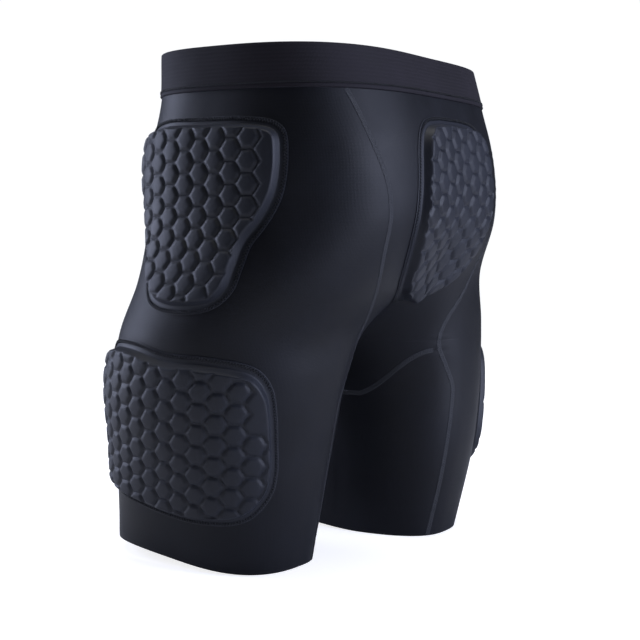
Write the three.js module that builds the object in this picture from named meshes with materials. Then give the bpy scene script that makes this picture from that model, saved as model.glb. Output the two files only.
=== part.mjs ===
// Padded impact shorts for skiing and snowboarding, in millimetres.
// +Z is up, the wearer faces -Y and the wearer's left is +X. The garment stands on its two hems,
// stored in the shape it takes when worn, with a short stride (left leg forward, right leg back).
//
// Every piece lies on one body form. A place on the form is a side (+1 left, -1 right), a height
// and a distance round the leg from the outer side line: negative to the front, positive to the
// back. Layers are then stacked outwards from it along the form's normal.

import * as THREE from 'three';

// ---- Overall sizes ----
const OUTSEAM = 461; // hem to the top of the waistband
const HIP_WIDTH = 398; // across both thighs at the widest, without the pads
const HIP_DEPTH = 263; // front to back over the seat
const STRIDE = 33; // how far each leg's hem is moved forward or back
const HEM_RISE = 12; // how much higher the hem sits at the front of the leg
const HEM_RISE_START = -20; // the hem is level behind this line, measured from the middle of the garment
const HEM_RISE_DEPTH = 110; // and the rise is complete this much further forward
const HEM_RISE_FADE = 106; // height over which the rise fades out
const FORE_AFT = -8.39; // brings the middle of the finished garment over the origin

// ---- Fabric, trim and pads ----
const CLEARANCE = 0.3; // between pieces that touch
const KNIT = 1.2; // body fabric thickness
const WAISTBAND_HEIGHT = 38;
const WAISTBAND_THICKNESS = 2.2;
const FACING = 1; // thickness of the soft facing inside the waistband
const FACING_INSET = 2; // facing edge to waistband edge
const HEM_TAPE = 1; // bonded tape inside each hem
const HEM_TAPE_HEIGHT = 25;
const HEM_TAPE_INSET = 2;
const HEM_TAPE_SEAT = 0.6; // inside the form, clear of the panels' facets
const SEAM_WIDTH = 5; // flatlock seam
const SEAM_HEIGHT = 0.6;
const SEAM_CLEARANCE = 0.7; // knit to seam, clear of the panels' facets
const FACET_SLACK = 0.05; // added to the gap between panels whose facets differ
const THREAD_LINE_WIDTH = 1.4; // waistband stitching
const THREAD_LINE_INSET = 3; // waistband edge to its stitching
const THREAD_HEIGHT = 0.5;
const THREAD_SEAT = 0.8; // above the waistband, clear of its facets
const PAD_CLEARANCE = 2.6; // knit to pad base, so that the pad clears the knit's facets
const PAD_SEAT = KNIT + PAD_CLEARANCE;
const FOAM_THICKNESS = 6;
const PAD_BEVEL = 2.5;
const FOAM_CLEARANCE = 0.5; // foam to the inside of its cover
const COVER = 0.8; // facing fabric over the foam
const FLANGE = 6; // flat margin of the cover round the foam
const STITCH_INSET = 1.5; // zigzag row from the flange's outer edge
const STITCH_WIDTH = 3;
const BRIDGE = 9; // how far the tailbone pad's foot stands off the hollow below the seat
const BRIDGE_REACH = 20; // half width of that hollow
const BRIDGE_TOP = 290; // height where the pad lies on the form again
const BRIDGE_FADE = 45;

// ---- Body form ----
// Each level holds one leg's outline at a height: the leg axis from the centre plane, the reach
// outwards from it, where the inner side lies, the reach to front and back, how square the
// outline is, and how far the axis lies behind the middle of the garment.
const PATTERN = { outseam: 461, width: 398, depth: 263 };
const LEVELS = [
  { z: 0, axis: 88, outer: 63, inner: 43, front: 98, back: 90, square: 2.7, lean: -20, stride: 1 },
  { z: 96, axis: 92, outer: 83, inner: 33, front: 101, back: 98, square: 2.4, lean: -8, stride: 0.97 },
  { z: 176, axis: 93, outer: 101, inner: 20.5, front: 109, back: 105, square: 2.25, lean: -4, stride: 0.73 },
  { z: 211, axis: 89, outer: 110, inner: 3.5, front: 108, back: 105, square: 2.25, lean: 0, stride: 0.6 },
  { z: 256, axis: 72, outer: 120.5, inner: -34, front: 110.5, back: 123.5, square: 2.35, lean: 1.5, stride: 0.09 },
  { z: 316, axis: 44, outer: 136, inner: -65, front: 113, back: 148, square: 2.6, lean: 4, stride: 0 },
  { z: 376, axis: 31, outer: 148, inner: -84, front: 113, back: 146, square: 2.65, lean: 5.5, stride: 0 },
  { z: 420, axis: 27, outer: 148, inner: -92, front: 106, back: 132, square: 2.65, lean: 9, stride: 0 },
  { z: 461, axis: 34, outer: 140, inner: -90, front: 99, back: 118, square: 2.8, lean: 8, stride: 0 },
];
const CLEFT = 12; // softness of the fold where the two thighs meet
const STRIDE_TOP = 316; // both sides are alike from this height up
const STRIDE_BLEND = 50; // distance from the centre plane over which the stride builds up
const OUTLINE_STEPS = 720; // points worked out on each outline
const NORMAL_STEP = 0.3; // distance either side of a spot over which its normal is taken

// ---- Seam lines: [height, distance round the leg from the side line] ----
const BACK_SEAM = [
  [0, 150], [45, 159], [90, 169], [130, 177], [150, 182], [170, 195], [190, 207],
  [218, 204], [247, 185], [280, 173], [317, 171], [345, 166], [372, 154], [404, 133], [430, 115],
];
const FRONT_SEAM = [
  [0, -178], [45, -188], [90, -198], [130, -208], [160, -222], [190, -236],
  [218, -216], [247, -191], [280, -178], [317, -172], [372, -160], [430, -145],
];
const GUSSET_LOW = 142; // the gusset's lower edge at the inseam
const GUSSET_HIGH = 187; // where that edge meets the front and back seams
const GUSSET_FLAT = 0.25; // share of the inner thigh over which the edge runs level
const GUSSET_BOW = 1.3; // how the edge bows on its way up

// ---- Pads: outline as [distance from the pad's own middle line, height], clockwise ----
const HIP_PAD = [
  [-4, 393], [40, 392], [66, 386], [72, 366], [69, 338], [58, 314], [45, 294], [40, 274],
  [36, 254], [24, 243], [-4, 240], [-30, 244], [-45, 254], [-57, 274], [-63, 294],
  [-70, 314], [-77, 338], [-80, 366], [-74, 386], [-48, 393],
];
const THIGH_PAD = [
  [0, 193], [40, 191], [76, 184], [91, 168], [95, 145], [95, 120], [94, 96], [88, 76],
  [68, 57], [30, 52], [0, 53], [-30, 57], [-68, 63], [-88, 76], [-97, 98],
  [-100, 125], [-99, 152], [-94, 178], [-78, 197], [-40, 200],
];
const TAILBONE_PAD = [
  [0, 398], [30, 397], [49, 393], [59, 382], [64, 362], [67, 338], [68, 317], [66, 298],
  [58, 277], [47, 260], [29, 249], [0, 245],
];

// ---- Facets ----
const LEG_ROWS = [0, 35, 70, 105];
const GUSSET_ROWS = [150, 158, 166, 174, 181, 186];
const SADDLE_ROWS = [188, 191]; // below the crotch point
const CROTCH_STEPS = [0, 0.6, 3, 7.5]; // above the crotch point, where the form turns fastest
const BODY_ROWS = [212, 225, 243, 268, 300, 335, 370, 400];
const SIDE_COLUMNS = 12;
const BACK_COLUMNS = 6;
const INNER_COLUMNS = 5; // seam to the level part of the gusset edge
const INSEAM_COLUMNS = 2;
const WAIST_COLUMNS = 12; // on each side, front to back
const PAD_SEGMENTS = 24;
const PAD_RINGS = [0.75, 0.5, 0.25];

// ---- Materials ----
const cloth = (color, roughness = 0.75) => new THREE.MeshStandardMaterial({ color, roughness, metalness: 0 });
const KNIT_COLOUR = '#17181d';
const BAND_COLOUR = '#2a282e';
const TRIM_COLOUR = '#101116';
const THREAD_COLOUR = '#202127';
const FOAM_COLOUR = '#3a3b40';

// ---- The form ----

const tall = OUTSEAM / PATTERN.outseam;
const wide = HIP_WIDTH / PATTERN.width;
const deep = HIP_DEPTH / PATTERN.depth;
const smooth = (q) => {
  const t = Math.min(Math.max(q, 0), 1);
  return t * t * (3 - 2 * t);
};

// Smooth curve through [height, value] pairs, with tangents that suit uneven steps.
function throughPoints(points, z) {
  const slope = (i) => (points[i + 1][1] - points[i][1]) / (points[i + 1][0] - points[i][0]);
  const tangent = (i) => {
    if (i === 0) return slope(0);
    if (i === points.length - 1) return slope(i - 1);
    const before = points[i][0] - points[i - 1][0];
    const after = points[i + 1][0] - points[i][0];
    return (slope(i - 1) * after + slope(i) * before) / (before + after);
  };
  let i = 0;
  while (i < points.length - 2 && z > points[i + 1][0]) i += 1;
  const h = points[i + 1][0] - points[i][0];
  const q = (z - points[i][0]) / h;
  const q2 = q * q;
  const q3 = q2 * q;
  return (2 * q3 - 3 * q2 + 1) * points[i][1] + (q3 - 2 * q2 + q) * h * tangent(i)
    + (3 * q2 - 2 * q3) * points[i + 1][1] + (q3 - q2) * h * tangent(i + 1);
}

const level = (key, z) => throughPoints(LEVELS.map((l) => [l.z, l[key]]), z);
const outlines = new Map();

// One side's outline at a pattern height: points from the front end to the back end, each with
// its distance from the side line. Above the crotch both ends lie on the centre plane, and
// below it they meet on the inseam.
function outline(side, z) {
  const key = `${side} ${z.toFixed(4)}`;
  if (outlines.has(key)) return outlines.get(key);
  const axis = level('axis', z);
  const outer = level('outer', z);
  const inner = level('inner', z);
  const front = level('front', z);
  const back = level('back', z);
  const power = 2 / level('square', z);
  const lean = level('lean', z);
  const stride = z < STRIDE_TOP ? STRIDE * level('stride', z) : 0;
  const raw = (i) => {
    const angle = (i / OUTLINE_STEPS) * Math.PI;
    const c = Math.cos(angle);
    const s = Math.sin(angle);
    const across = Math.abs(c) ** power;
    return {
      x: axis + (c >= 0 ? outer : inner - axis) * across,
      y: lean + Math.sign(s) * (s >= 0 ? back : front) * Math.abs(s) ** power,
    };
  };
  const inside = (i) => Math.abs(i) <= OUTLINE_STEPS && raw(i).x >= CLEFT;
  const points = [];
  const add = (x, y) => {
    const across = x * wide;
    const shift = (side * stride * across) / Math.hypot(across, STRIDE_BLEND);
    points.push({ x: across * side, y: y * deep - shift });
  };
  const end = (last, next) => {
    if (Math.abs(next) > OUTLINE_STEPS) return;
    const a = raw(last);
    const b = raw(next);
    add(0, a.y + ((b.y - a.y) * (a.x - CLEFT)) / (a.x - b.x));
  };
  let first = 0;
  let last = 0;
  while (inside(first - 1)) first -= 1;
  while (inside(last + 1)) last += 1;
  end(first, first - 1);
  const zero = points.length - first;
  for (let i = first; i <= last; i += 1) {
    const p = raw(i);
    add(Math.sqrt(p.x * p.x - CLEFT * CLEFT), p.y);
  }
  end(last, last + 1);
  const along = [0];
  for (let i = 1; i < points.length; i += 1) {
    along.push(along[i - 1] + Math.hypot(points[i].x - points[i - 1].x, points[i].y - points[i - 1].y));
  }
  const start = along[zero];
  const result = { points, along: along.map((a) => a - start) };
  result.front = result.along[0];
  result.back = result.along[points.length - 1];
  outlines.set(key, result);
  return result;
}

// The height where the two thighs part.
function crotchHeight() {
  let low = LEVELS[2].z;
  let high = LEVELS[4].z;
  while (high - low > 1e-6) {
    const middle = (low + high) / 2;
    if (level('inner', middle) > CLEFT) low = middle;
    else high = middle;
  }
  return low;
}
const CROTCH = crotchHeight();

// Bare point of the form. A distance past an end carries on round the inseam or on the other side.
function formPoint(side, s, z) {
  let line = outline(side, z);
  let distance = s;
  let half = side;
  const back = distance > line.back;
  if (back || distance < line.front) {
    if (z < CROTCH) {
      distance += (line.front - line.back) * (back ? 1 : -1);
    } else {
      const over = back ? distance - line.back : line.front - distance;
      half = -side;
      line = outline(half, z);
      distance = back ? line.back - over : line.front + over;
    }
  }
  let low = 0;
  let high = line.along.length - 1;
  while (high - low > 1) {
    const middle = (low + high) >> 1;
    if (line.along[middle] <= distance) low = middle;
    else high = middle;
  }
  const q = (distance - line.along[low]) / (line.along[high] - line.along[low]);
  const a = line.points[low];
  const b = line.points[high];
  const y = a.y + (b.y - a.y) * q;
  const rise = HEM_RISE * smooth((HEM_RISE_START - y) / HEM_RISE_DEPTH) * Math.max(1 - z / HEM_RISE_FADE, 0);
  return new THREE.Vector3(a.x + (b.x - a.x) * q, y + FORE_AFT, z * tall + rise);
}

// Outward normal, level at the open edges so that they end in flat faces.
function formNormal(side, s, z) {
  const step = NORMAL_STEP;
  const share = (height) => {
    const here = outline(side, z);
    const there = outline(side, height);
    return s > 0 ? (s / here.back) * there.back : (s / here.front) * there.front;
  };
  const top = Math.min(z + step, PATTERN.outseam);
  const bottom = Math.max(z - step, 0);
  const round = formPoint(side, s + step, z).sub(formPoint(side, s - step, z));
  const up = formPoint(side, share(top), top).sub(formPoint(side, share(bottom), bottom));
  const normal = round.cross(up).multiplyScalar(side);
  if (z <= 0 || z >= PATTERN.outseam) normal.z = 0;
  return normal.normalize();
}

const place = (spot, lift) => formPoint(spot.side, spot.s, spot.z)
  .addScaledVector(formNormal(spot.side, spot.s, spot.z), lift + (spot.raise ?? 0));

// ---- Solids ----

const closedMesh = (name, positions, triangles, material) => {
  const geometry = new THREE.BufferGeometry();
  geometry.setAttribute('position', new THREE.Float32BufferAttribute(positions, 3));
  geometry.setIndex(triangles);
  geometry.computeVertexNormals();
  const mesh = new THREE.Mesh(geometry, material);
  mesh.name = name;
  return mesh;
};

// A layer between two lifts over a patch of four-cornered cells, walled round its open edges.
function layer(name, cells, inner, outer, material) {
  const spots = [];
  const known = new Map();
  const index = (spot) => {
    const p = formPoint(spot.side, spot.s, spot.z);
    const key = `${p.x.toFixed(2)} ${p.y.toFixed(2)} ${p.z.toFixed(2)}`.replace(/-0\.00/g, '0.00');
    if (!known.has(key)) {
      known.set(key, spots.length);
      spots.push(spot);
    }
    return known.get(key);
  };
  const faces = [];
  for (const cell of cells) {
    const [a, b, c, d] = cell.map(index);
    for (const face of [[a, b, c], [a, c, d]]) {
      if (new Set(face).size === 3) faces.push(face);
    }
  }
  const count = spots.length;
  const positions = [];
  for (const lift of [outer, inner]) {
    for (const spot of spots) positions.push(...place(spot, lift).toArray());
  }
  const edges = new Set(faces.flatMap(([a, b, c]) => [`${a} ${b}`, `${b} ${c}`, `${c} ${a}`]));
  const triangles = [];
  for (const [a, b, c] of faces) {
    triangles.push(a, b, c, a + count, c + count, b + count);
    for (const [p, q] of [[a, b], [b, c], [c, a]]) {
      if (!edges.has(`${q} ${p}`)) triangles.push(p, p + count, q + count, p, q + count, q);
    }
  }
  return closedMesh(name, positions, triangles, material);
}

// Cells between rows of spots. Cells turn round on the right side so that they face outwards.
function cellsBetween(rows) {
  const cells = [];
  for (let r = 0; r + 1 < rows.length; r += 1) {
    for (let c = 0; c + 1 < rows[r].length; c += 1) {
      const cell = [rows[r][c], rows[r][c + 1], rows[r + 1][c + 1], rows[r + 1][c]];
      cells.push(cell[0].side > 0 ? cell : cell.reverse());
    }
  }
  return cells;
}

// A flat strip that follows a path of spots on the form.
function strip(name, path, width, inner, outer, material, closed = false) {
  const positions = [];
  const count = path.length;
  const centres = path.map((spot) => place(spot, 0));
  path.forEach((spot, i) => {
    const before = closed ? centres[(i + count - 1) % count] : centres[Math.max(i - 1, 0)];
    const after = closed ? centres[(i + 1) % count] : centres[Math.min(i + 1, count - 1)];
    const normal = formNormal(spot.side, spot.s, spot.z);
    const across = new THREE.Vector3().subVectors(after, before).cross(normal).normalize();
    for (const [sideways, lift] of [[-1, inner], [1, inner], [1, outer], [-1, outer]]) {
      const corner = centres[i].clone().addScaledVector(across, (sideways * width) / 2);
      positions.push(...corner.addScaledVector(normal, lift).toArray());
    }
  });
  const triangles = [];
  for (let i = 0; i < (closed ? count : count - 1); i += 1) {
    const here = i * 4;
    const next = ((i + 1) % count) * 4;
    for (let k = 0; k < 4; k += 1) {
      const m = (k + 1) % 4;
      triangles.push(here + k, next + k, next + m, here + k, next + m, here + m);
    }
  }
  if (!closed) {
    const last = (count - 1) * 4;
    triangles.push(0, 1, 2, 0, 2, 3, last, last + 2, last + 1, last, last + 3, last + 2);
  }
  return closedMesh(name, positions, triangles, material);
}

// ---- Panel edges ----

const seamAt = (points, z) => throughPoints(points, z) * wide;
const WAIST_SEAM = PATTERN.outseam - WAISTBAND_HEIGHT / tall;
const SEAM_GAP = CLEARANCE / 2 + FACET_SLACK;
const panelRows = [
  ...GUSSET_ROWS, ...SADDLE_ROWS, ...CROTCH_STEPS.map((step) => CROTCH + step), ...BODY_ROWS,
  WAIST_SEAM - CLEARANCE,
];

// How far along the inner thigh, from the inseam (0) to the seam (1), the gusset edge is.
function gussetShare(z) {
  const climb = Math.min(Math.max((z - GUSSET_LOW) / (GUSSET_HIGH - GUSSET_LOW), 0), 1);
  return GUSSET_FLAT + (1 - GUSSET_FLAT) * (2 / Math.PI) * Math.asin(climb ** (1 / GUSSET_BOW));
}

// The end of an outline towards the back (+1) or front (-1), and a spot between it and the seam.
const reach = (side, toward, z) => (toward > 0 ? outline(side, z).back : outline(side, z).front);
const seamLine = (toward, z) => seamAt(toward > 0 ? BACK_SEAM : FRONT_SEAM, z);
function innerSpot(side, toward, share, z, gap = 0) {
  const end = reach(side, toward, z);
  return { side, s: end + (seamLine(toward, z) - end) * share + toward * gap, z };
}

// The back or front panel: from the waistband down between the seams and under the crotch to
// the gusset edges, in a left and a right half that join on the centre line.
function centrePanel(name, toward) {
  const cells = [];
  for (const side of [1, -1]) {
    const rows = [GUSSET_LOW + CLEARANCE, ...panelRows].map((z) => {
      const share = z < GUSSET_HIGH ? gussetShare(z - CLEARANCE) : 1;
      const from = innerSpot(side, toward, share, z, SEAM_GAP).s;
      const to = reach(side, toward, z) - (z <= CROTCH ? toward * SEAM_GAP : 0);
      const row = [];
      for (let c = 0; c <= BACK_COLUMNS; c += 1) {
        row.push({ side, s: from + ((to - from) * c) / BACK_COLUMNS, z });
      }
      return toward > 0 ? row : row.reverse();
    });
    cells.push(...cellsBetween(rows));
  }
  return layer(name, cells, 0, KNIT, cloth(KNIT_COLOUR));
}

const sideSpots = (side, z) => {
  const from = seamLine(-1, z) + SEAM_GAP;
  const to = seamLine(1, z) - SEAM_GAP;
  const row = [];
  for (let c = 0; c <= SIDE_COLUMNS; c += 1) row.push({ side, s: from + ((to - from) * c) / SIDE_COLUMNS, z });
  return row;
};

function sidePanel(name, side) {
  const rows = [...LEG_ROWS, GUSSET_LOW, ...panelRows].map((z) => sideSpots(side, z));
  return layer(name, cellsBetween(rows), 0, KNIT, cloth(KNIT_COLOUR));
}

// Spots across the inner thigh on one half, from the seam to a share of the way to the inseam.
const innerRow = (side, toward, z, endShare, columns, gap) => {
  const row = [];
  for (let c = 0; c <= columns; c += 1) {
    const share = 1 + ((endShare - 1) * c) / columns;
    row.push(innerSpot(side, toward, share, z, gap * (1 - c / columns)));
  }
  return toward > 0 ? row : row.reverse();
};

// The inner thigh panel: a full band up to the level part of the gusset edge, then a horn that
// narrows upwards along each seam.
function innerThighPanel(name, side) {
  const cells = [];
  for (const toward of [1, -1]) {
    const low = [...LEG_ROWS, GUSSET_LOW - CLEARANCE];
    cells.push(...cellsBetween(low.map((z) => innerRow(side, toward, z, GUSSET_FLAT, INNER_COLUMNS, SEAM_GAP))));
    cells.push(...cellsBetween(low.map((z) => {
      const row = [];
      for (let c = 0; c <= INSEAM_COLUMNS; c += 1) {
        row.push(innerSpot(side, toward, GUSSET_FLAT * (1 - c / INSEAM_COLUMNS), z));
      }
      return toward > 0 ? row : row.reverse();
    })));
    const horn = [GUSSET_LOW - CLEARANCE, ...GUSSET_ROWS];
    cells.push(...cellsBetween(horn.map((z) => (
      innerRow(side, toward, z, gussetShare(z + CLEARANCE), INNER_COLUMNS, SEAM_GAP)))));
  }
  return layer(name, cells, 0, KNIT, cloth(KNIT_COLOUR));
}

// ---- Waistband and hem tapes ----

function waistRing(name, low, high, inner, outer, material) {
  const cells = [];
  for (const side of [1, -1]) {
    cells.push(...cellsBetween([low, high].map((z) => {
      const { front, back } = outline(side, z);
      const row = [];
      for (let c = 0; c <= WAIST_COLUMNS; c += 1) row.push({ side, s: front + ((back - front) * c) / WAIST_COLUMNS, z });
      return row;
    })));
  }
  return layer(name, cells, inner, outer, material);
}

function hemTape(name, side) {
  const cells = [];
  const rows = [HEM_TAPE_INSET, HEM_TAPE_INSET + HEM_TAPE_HEIGHT];
  cells.push(...cellsBetween(rows.map((z) => sideSpots(side, z))));
  for (const toward of [1, -1]) {
    cells.push(...cellsBetween(rows.map((z) => {
      const row = innerRow(side, toward, z, GUSSET_FLAT, INNER_COLUMNS, -SEAM_GAP);
      for (let c = 1; c <= INSEAM_COLUMNS; c += 1) {
        const spot = innerSpot(side, toward, GUSSET_FLAT * (1 - c / INSEAM_COLUMNS), z);
        if (toward > 0) row.push(spot);
        else row.unshift(spot);
      }
      return row;
    })));
  }
  return layer(name, cells, -HEM_TAPE_SEAT - HEM_TAPE, -HEM_TAPE_SEAT, cloth(TRIM_COLOUR, 0.6));
}

// ---- Seams ----

const SEAM_SEAT = KNIT + SEAM_CLEARANCE;
const SEAM_START = 1; // seams stop this far above the hem
const CROTCH_SEAM_LIFT = 0.5; // room for the sharp turn under the crotch
const flatlock = (name, path, lift = 0) => strip(
  name, path, SEAM_WIDTH, SEAM_SEAT + lift, SEAM_SEAT + lift + SEAM_HEIGHT, cloth(THREAD_COLOUR, 0.85));

const longSeam = (name, side, toward) => flatlock(name, [
  SEAM_START, ...LEG_ROWS.slice(1), GUSSET_LOW, ...panelRows,
].map((z) => ({ side, s: seamLine(toward, z), z })));

function gussetSeam(name, side) {
  const climb = (toward) => [...GUSSET_ROWS].reverse().map((z) => innerSpot(side, toward, gussetShare(z), z));
  const across = [];
  for (const toward of [1, -1]) {
    const half = [];
    for (let c = 0; c <= INSEAM_COLUMNS; c += 1) {
      if (toward > 0 || c < INSEAM_COLUMNS) {
        half.push(innerSpot(side, toward, GUSSET_FLAT * (1 - c / INSEAM_COLUMNS), GUSSET_LOW));
      }
    }
    across.push(...(toward > 0 ? half : half.reverse()));
  }
  return flatlock(name, [...climb(1), ...across, ...climb(-1).reverse()]);
}

function crotchSeam(name) {
  const heights = [...GUSSET_ROWS, ...SADDLE_ROWS].filter((z) => z > GUSSET_LOW + SEAM_WIDTH);
  const leg = (side) => heights.map((z) => ({ side, s: reach(side, 1, z), z }));
  const top = { side: 1, s: reach(1, 1, CROTCH), z: CROTCH };
  return flatlock(name, [...leg(1), top, ...leg(-1).reverse()], CROTCH_SEAM_LIFT);
}

// ---- Pads ----

// A pad's outline, evenly spaced, as a closed smooth curve through its points.
function padOutline(points) {
  const curve = new THREE.CatmullRomCurve3(points.map(([a, z]) => new THREE.Vector3(a, z, 0)), true);
  return curve.getSpacedPoints(PAD_SEGMENTS).slice(0, PAD_SEGMENTS);
}
const bothHalves = (points) => [
  ...points, ...points.slice(1, -1).reverse().map(([a, z]) => [-a, z]),
];

// A solid made by carrying a profile of [inset, lift] round a pad's outline. An inset counts
// inwards from the foam's edge. A profile that starts and ends in the middle is a plate, and
// any other is a ring.
function padSolid(name, pad, profile, plate, material) {
  const middle = pad.outline.reduce((sum, p) => sum.add(p), new THREE.Vector3()).divideScalar(pad.outline.length);
  const positions = [];
  const triangles = [];
  const face = (a, b, c) => triangles.push(...(pad.clockwise ? [a, c, b] : [a, b, c]));
  const add = (a, z, lift) => {
    positions.push(...place(pad.spot(a, z), lift).toArray());
    return positions.length / 3 - 1;
  };
  const shareAt = (p, [inset, , share]) => share ?? 1 - inset / p.distanceTo(middle);
  const sizes = profile.map((step) => shareAt(pad.outline[0], step));
  const loops = profile.map((step) => pad.outline.map((p) => {
    const keep = shareAt(p, step);
    const lift = step[1];
    return add(middle.x + (p.x - middle.x) * keep, middle.y + (p.y - middle.y) * keep, lift);
  }));
  const count = pad.outline.length;
  const bands = plate ? loops.length - 1 : loops.length;
  for (let k = 0; k < bands; k += 1) {
    const from = loops[k];
    const to = loops[(k + 1) % loops.length];
    const outward = sizes[(k + 1) % loops.length] > sizes[k]; // stacked layers split their cells alike
    for (let i = 0; i < count; i += 1) {
      const j = (i + 1) % count;
      if (outward) {
        face(from[i], from[j], to[i]);
        face(from[j], to[j], to[i]);
      } else {
        face(from[i], to[j], to[i]);
        face(from[i], from[j], to[j]);
      }
    }
  }
  if (plate) {
    const first = add(middle.x, middle.y, profile[0][1]);
    const last = add(middle.x, middle.y, profile[profile.length - 1][1]);
    for (let i = 0; i < count; i += 1) {
      const j = (i + 1) % count;
      face(first, loops[0][j], loops[0][i]);
      face(last, loops[loops.length - 1][i], loops[loops.length - 1][j]);
    }
  }
  return closedMesh(name, positions, triangles, material);
}

const ringsOut = (lift) => [...PAD_RINGS].reverse().map((share) => [0, lift, share]);
const ringsIn = (lift) => PAD_RINGS.map((share) => [0, lift, share]);

function padPieces(name, pad) {
  const foamTop = PAD_SEAT + FOAM_THICKNESS;
  const coverIn = foamTop + FOAM_CLEARANCE;
  const wall = -FOAM_CLEARANCE;
  const foam = padSolid(`${name}_foam`, pad, [
    ...ringsOut(PAD_SEAT), [0, PAD_SEAT], [0, foamTop - PAD_BEVEL], [PAD_BEVEL, foamTop], ...ringsIn(foamTop),
  ], true, cloth(FOAM_COLOUR, 0.95));
  const cover = padSolid(`${name}_cover`, pad, [
    ...ringsOut(coverIn), [PAD_BEVEL, coverIn], [wall, coverIn - PAD_BEVEL], [wall, PAD_SEAT],
    [-FLANGE, PAD_SEAT], [-FLANGE, PAD_SEAT + COVER], [wall - COVER, PAD_SEAT + COVER],
    [wall - COVER, coverIn + COVER - PAD_BEVEL], [PAD_BEVEL, coverIn + COVER], ...ringsIn(coverIn + COVER),
  ], true, cloth(KNIT_COLOUR, 0.6));
  const low = PAD_SEAT + COVER + CLEARANCE;
  const outside = -FLANGE + STITCH_INSET;
  const inside = outside + STITCH_WIDTH;
  const stitching = padSolid(`${name}_stitching`, pad, [
    [inside, low], [outside, low], [outside, low + THREAD_HEIGHT], [inside, low + THREAD_HEIGHT],
  ], false, cloth(THREAD_COLOUR, 0.85));
  return [foam, cover, stitching];
}

const sidePad = (side, points) => ({
  outline: padOutline(points),
  clockwise: side > 0, // as seen from outside
  spot: (a, z) => ({ side, s: a * wide, z }),
});
const backPad = (points) => ({
  outline: padOutline(bothHalves(points)),
  clockwise: false,
  spot: (a, z) => {
    const side = a < 0 ? -1 : 1;
    const raise = BRIDGE * Math.exp(-((a / BRIDGE_REACH) ** 2)) * smooth((BRIDGE_TOP - z) / BRIDGE_FADE);
    return { side, s: reach(side, 1, z) - Math.abs(a) * wide, z, raise };
  },
});

// ---- The garment ----

const shorts = new THREE.Group();
const top = PATTERN.outseam;
shorts.add(centrePanel('back_panel', 1), centrePanel('front_panel', -1));
for (const [side, name] of [[1, 'left'], [-1, 'right']]) {
  shorts.add(
    sidePanel(`${name}_side_panel`, side),
    innerThighPanel(`${name}_inner_thigh_panel`, side),
    hemTape(`${name}_hem_tape`, side),
    longSeam(`${name}_back_seam`, side, 1),
    longSeam(`${name}_front_seam`, side, -1),
    gussetSeam(`${name}_gusset_seam`, side),
    ...padPieces(`${name}_hip_pad`, sidePad(side, HIP_PAD)),
    ...padPieces(`${name}_thigh_pad`, sidePad(side, THIGH_PAD)),
  );
}
shorts.add(
  crotchSeam('crotch_seam'),
  ...padPieces('tailbone_pad', backPad(TAILBONE_PAD)),
  waistRing('waistband', WAIST_SEAM, top, 0, WAISTBAND_THICKNESS, cloth(BAND_COLOUR, 0.9)),
  waistRing('waistband_facing', WAIST_SEAM + FACING_INSET, top - FACING_INSET,
    -CLEARANCE - FACING, -CLEARANCE, cloth(TRIM_COLOUR, 0.95)),
  waistRing('waistband_stitching', WAIST_SEAM + THREAD_LINE_INSET,
    WAIST_SEAM + THREAD_LINE_INSET + THREAD_LINE_WIDTH, WAISTBAND_THICKNESS + THREAD_SEAT,
    WAISTBAND_THICKNESS + THREAD_SEAT + THREAD_HEIGHT, cloth(THREAD_COLOUR, 0.85)),
);

export default shorts;
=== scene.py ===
"""Padded impact shorts for skiing and snowboarding: the cloth, pads, seams and finishes.

The garment is stored in the shape it takes when worn. Every piece lies on one body form, the
same as the fixed frame's. A place on the form is a side (+1 the wearer's left, -1 the right), a
distance round the leg from the outer side line (negative to the front, positive to the back)
and a height, in millimetres. Layers are stacked outwards from it along the form's normal.
"""

import math

import bpy
import numpy as np
from bpy.props import FloatProperty, FloatVectorProperty, PointerProperty
from mathutils import Matrix, Vector
from mathutils.geometry import delaunay_2d_cdt


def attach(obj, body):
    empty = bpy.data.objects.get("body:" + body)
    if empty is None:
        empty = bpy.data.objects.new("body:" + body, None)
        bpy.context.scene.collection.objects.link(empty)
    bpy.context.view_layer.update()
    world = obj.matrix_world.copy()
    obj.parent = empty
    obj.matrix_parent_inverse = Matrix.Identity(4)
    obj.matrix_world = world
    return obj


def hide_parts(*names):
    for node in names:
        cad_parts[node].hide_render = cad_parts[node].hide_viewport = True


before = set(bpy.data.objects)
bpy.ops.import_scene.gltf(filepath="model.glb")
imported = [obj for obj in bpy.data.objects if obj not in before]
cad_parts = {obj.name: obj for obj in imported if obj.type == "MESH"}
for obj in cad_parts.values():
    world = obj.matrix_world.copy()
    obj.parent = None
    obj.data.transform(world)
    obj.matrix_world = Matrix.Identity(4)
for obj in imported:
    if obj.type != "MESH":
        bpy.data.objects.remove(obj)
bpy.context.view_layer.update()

bl_info = {
    "name": "Padded impact shorts",
    "version": (1, 0, 0),
    "blender": (4, 5, 0),
    "location": "View3D > Sidebar > Shorts",
    "description": "Makes the cloth, pads, seams and finishes of a pair of padded impact shorts",
    "category": "Add Mesh",
}

BODY = "root"
MM = 0.001
SIDES = {"left": 1, "right": -1}

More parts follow.
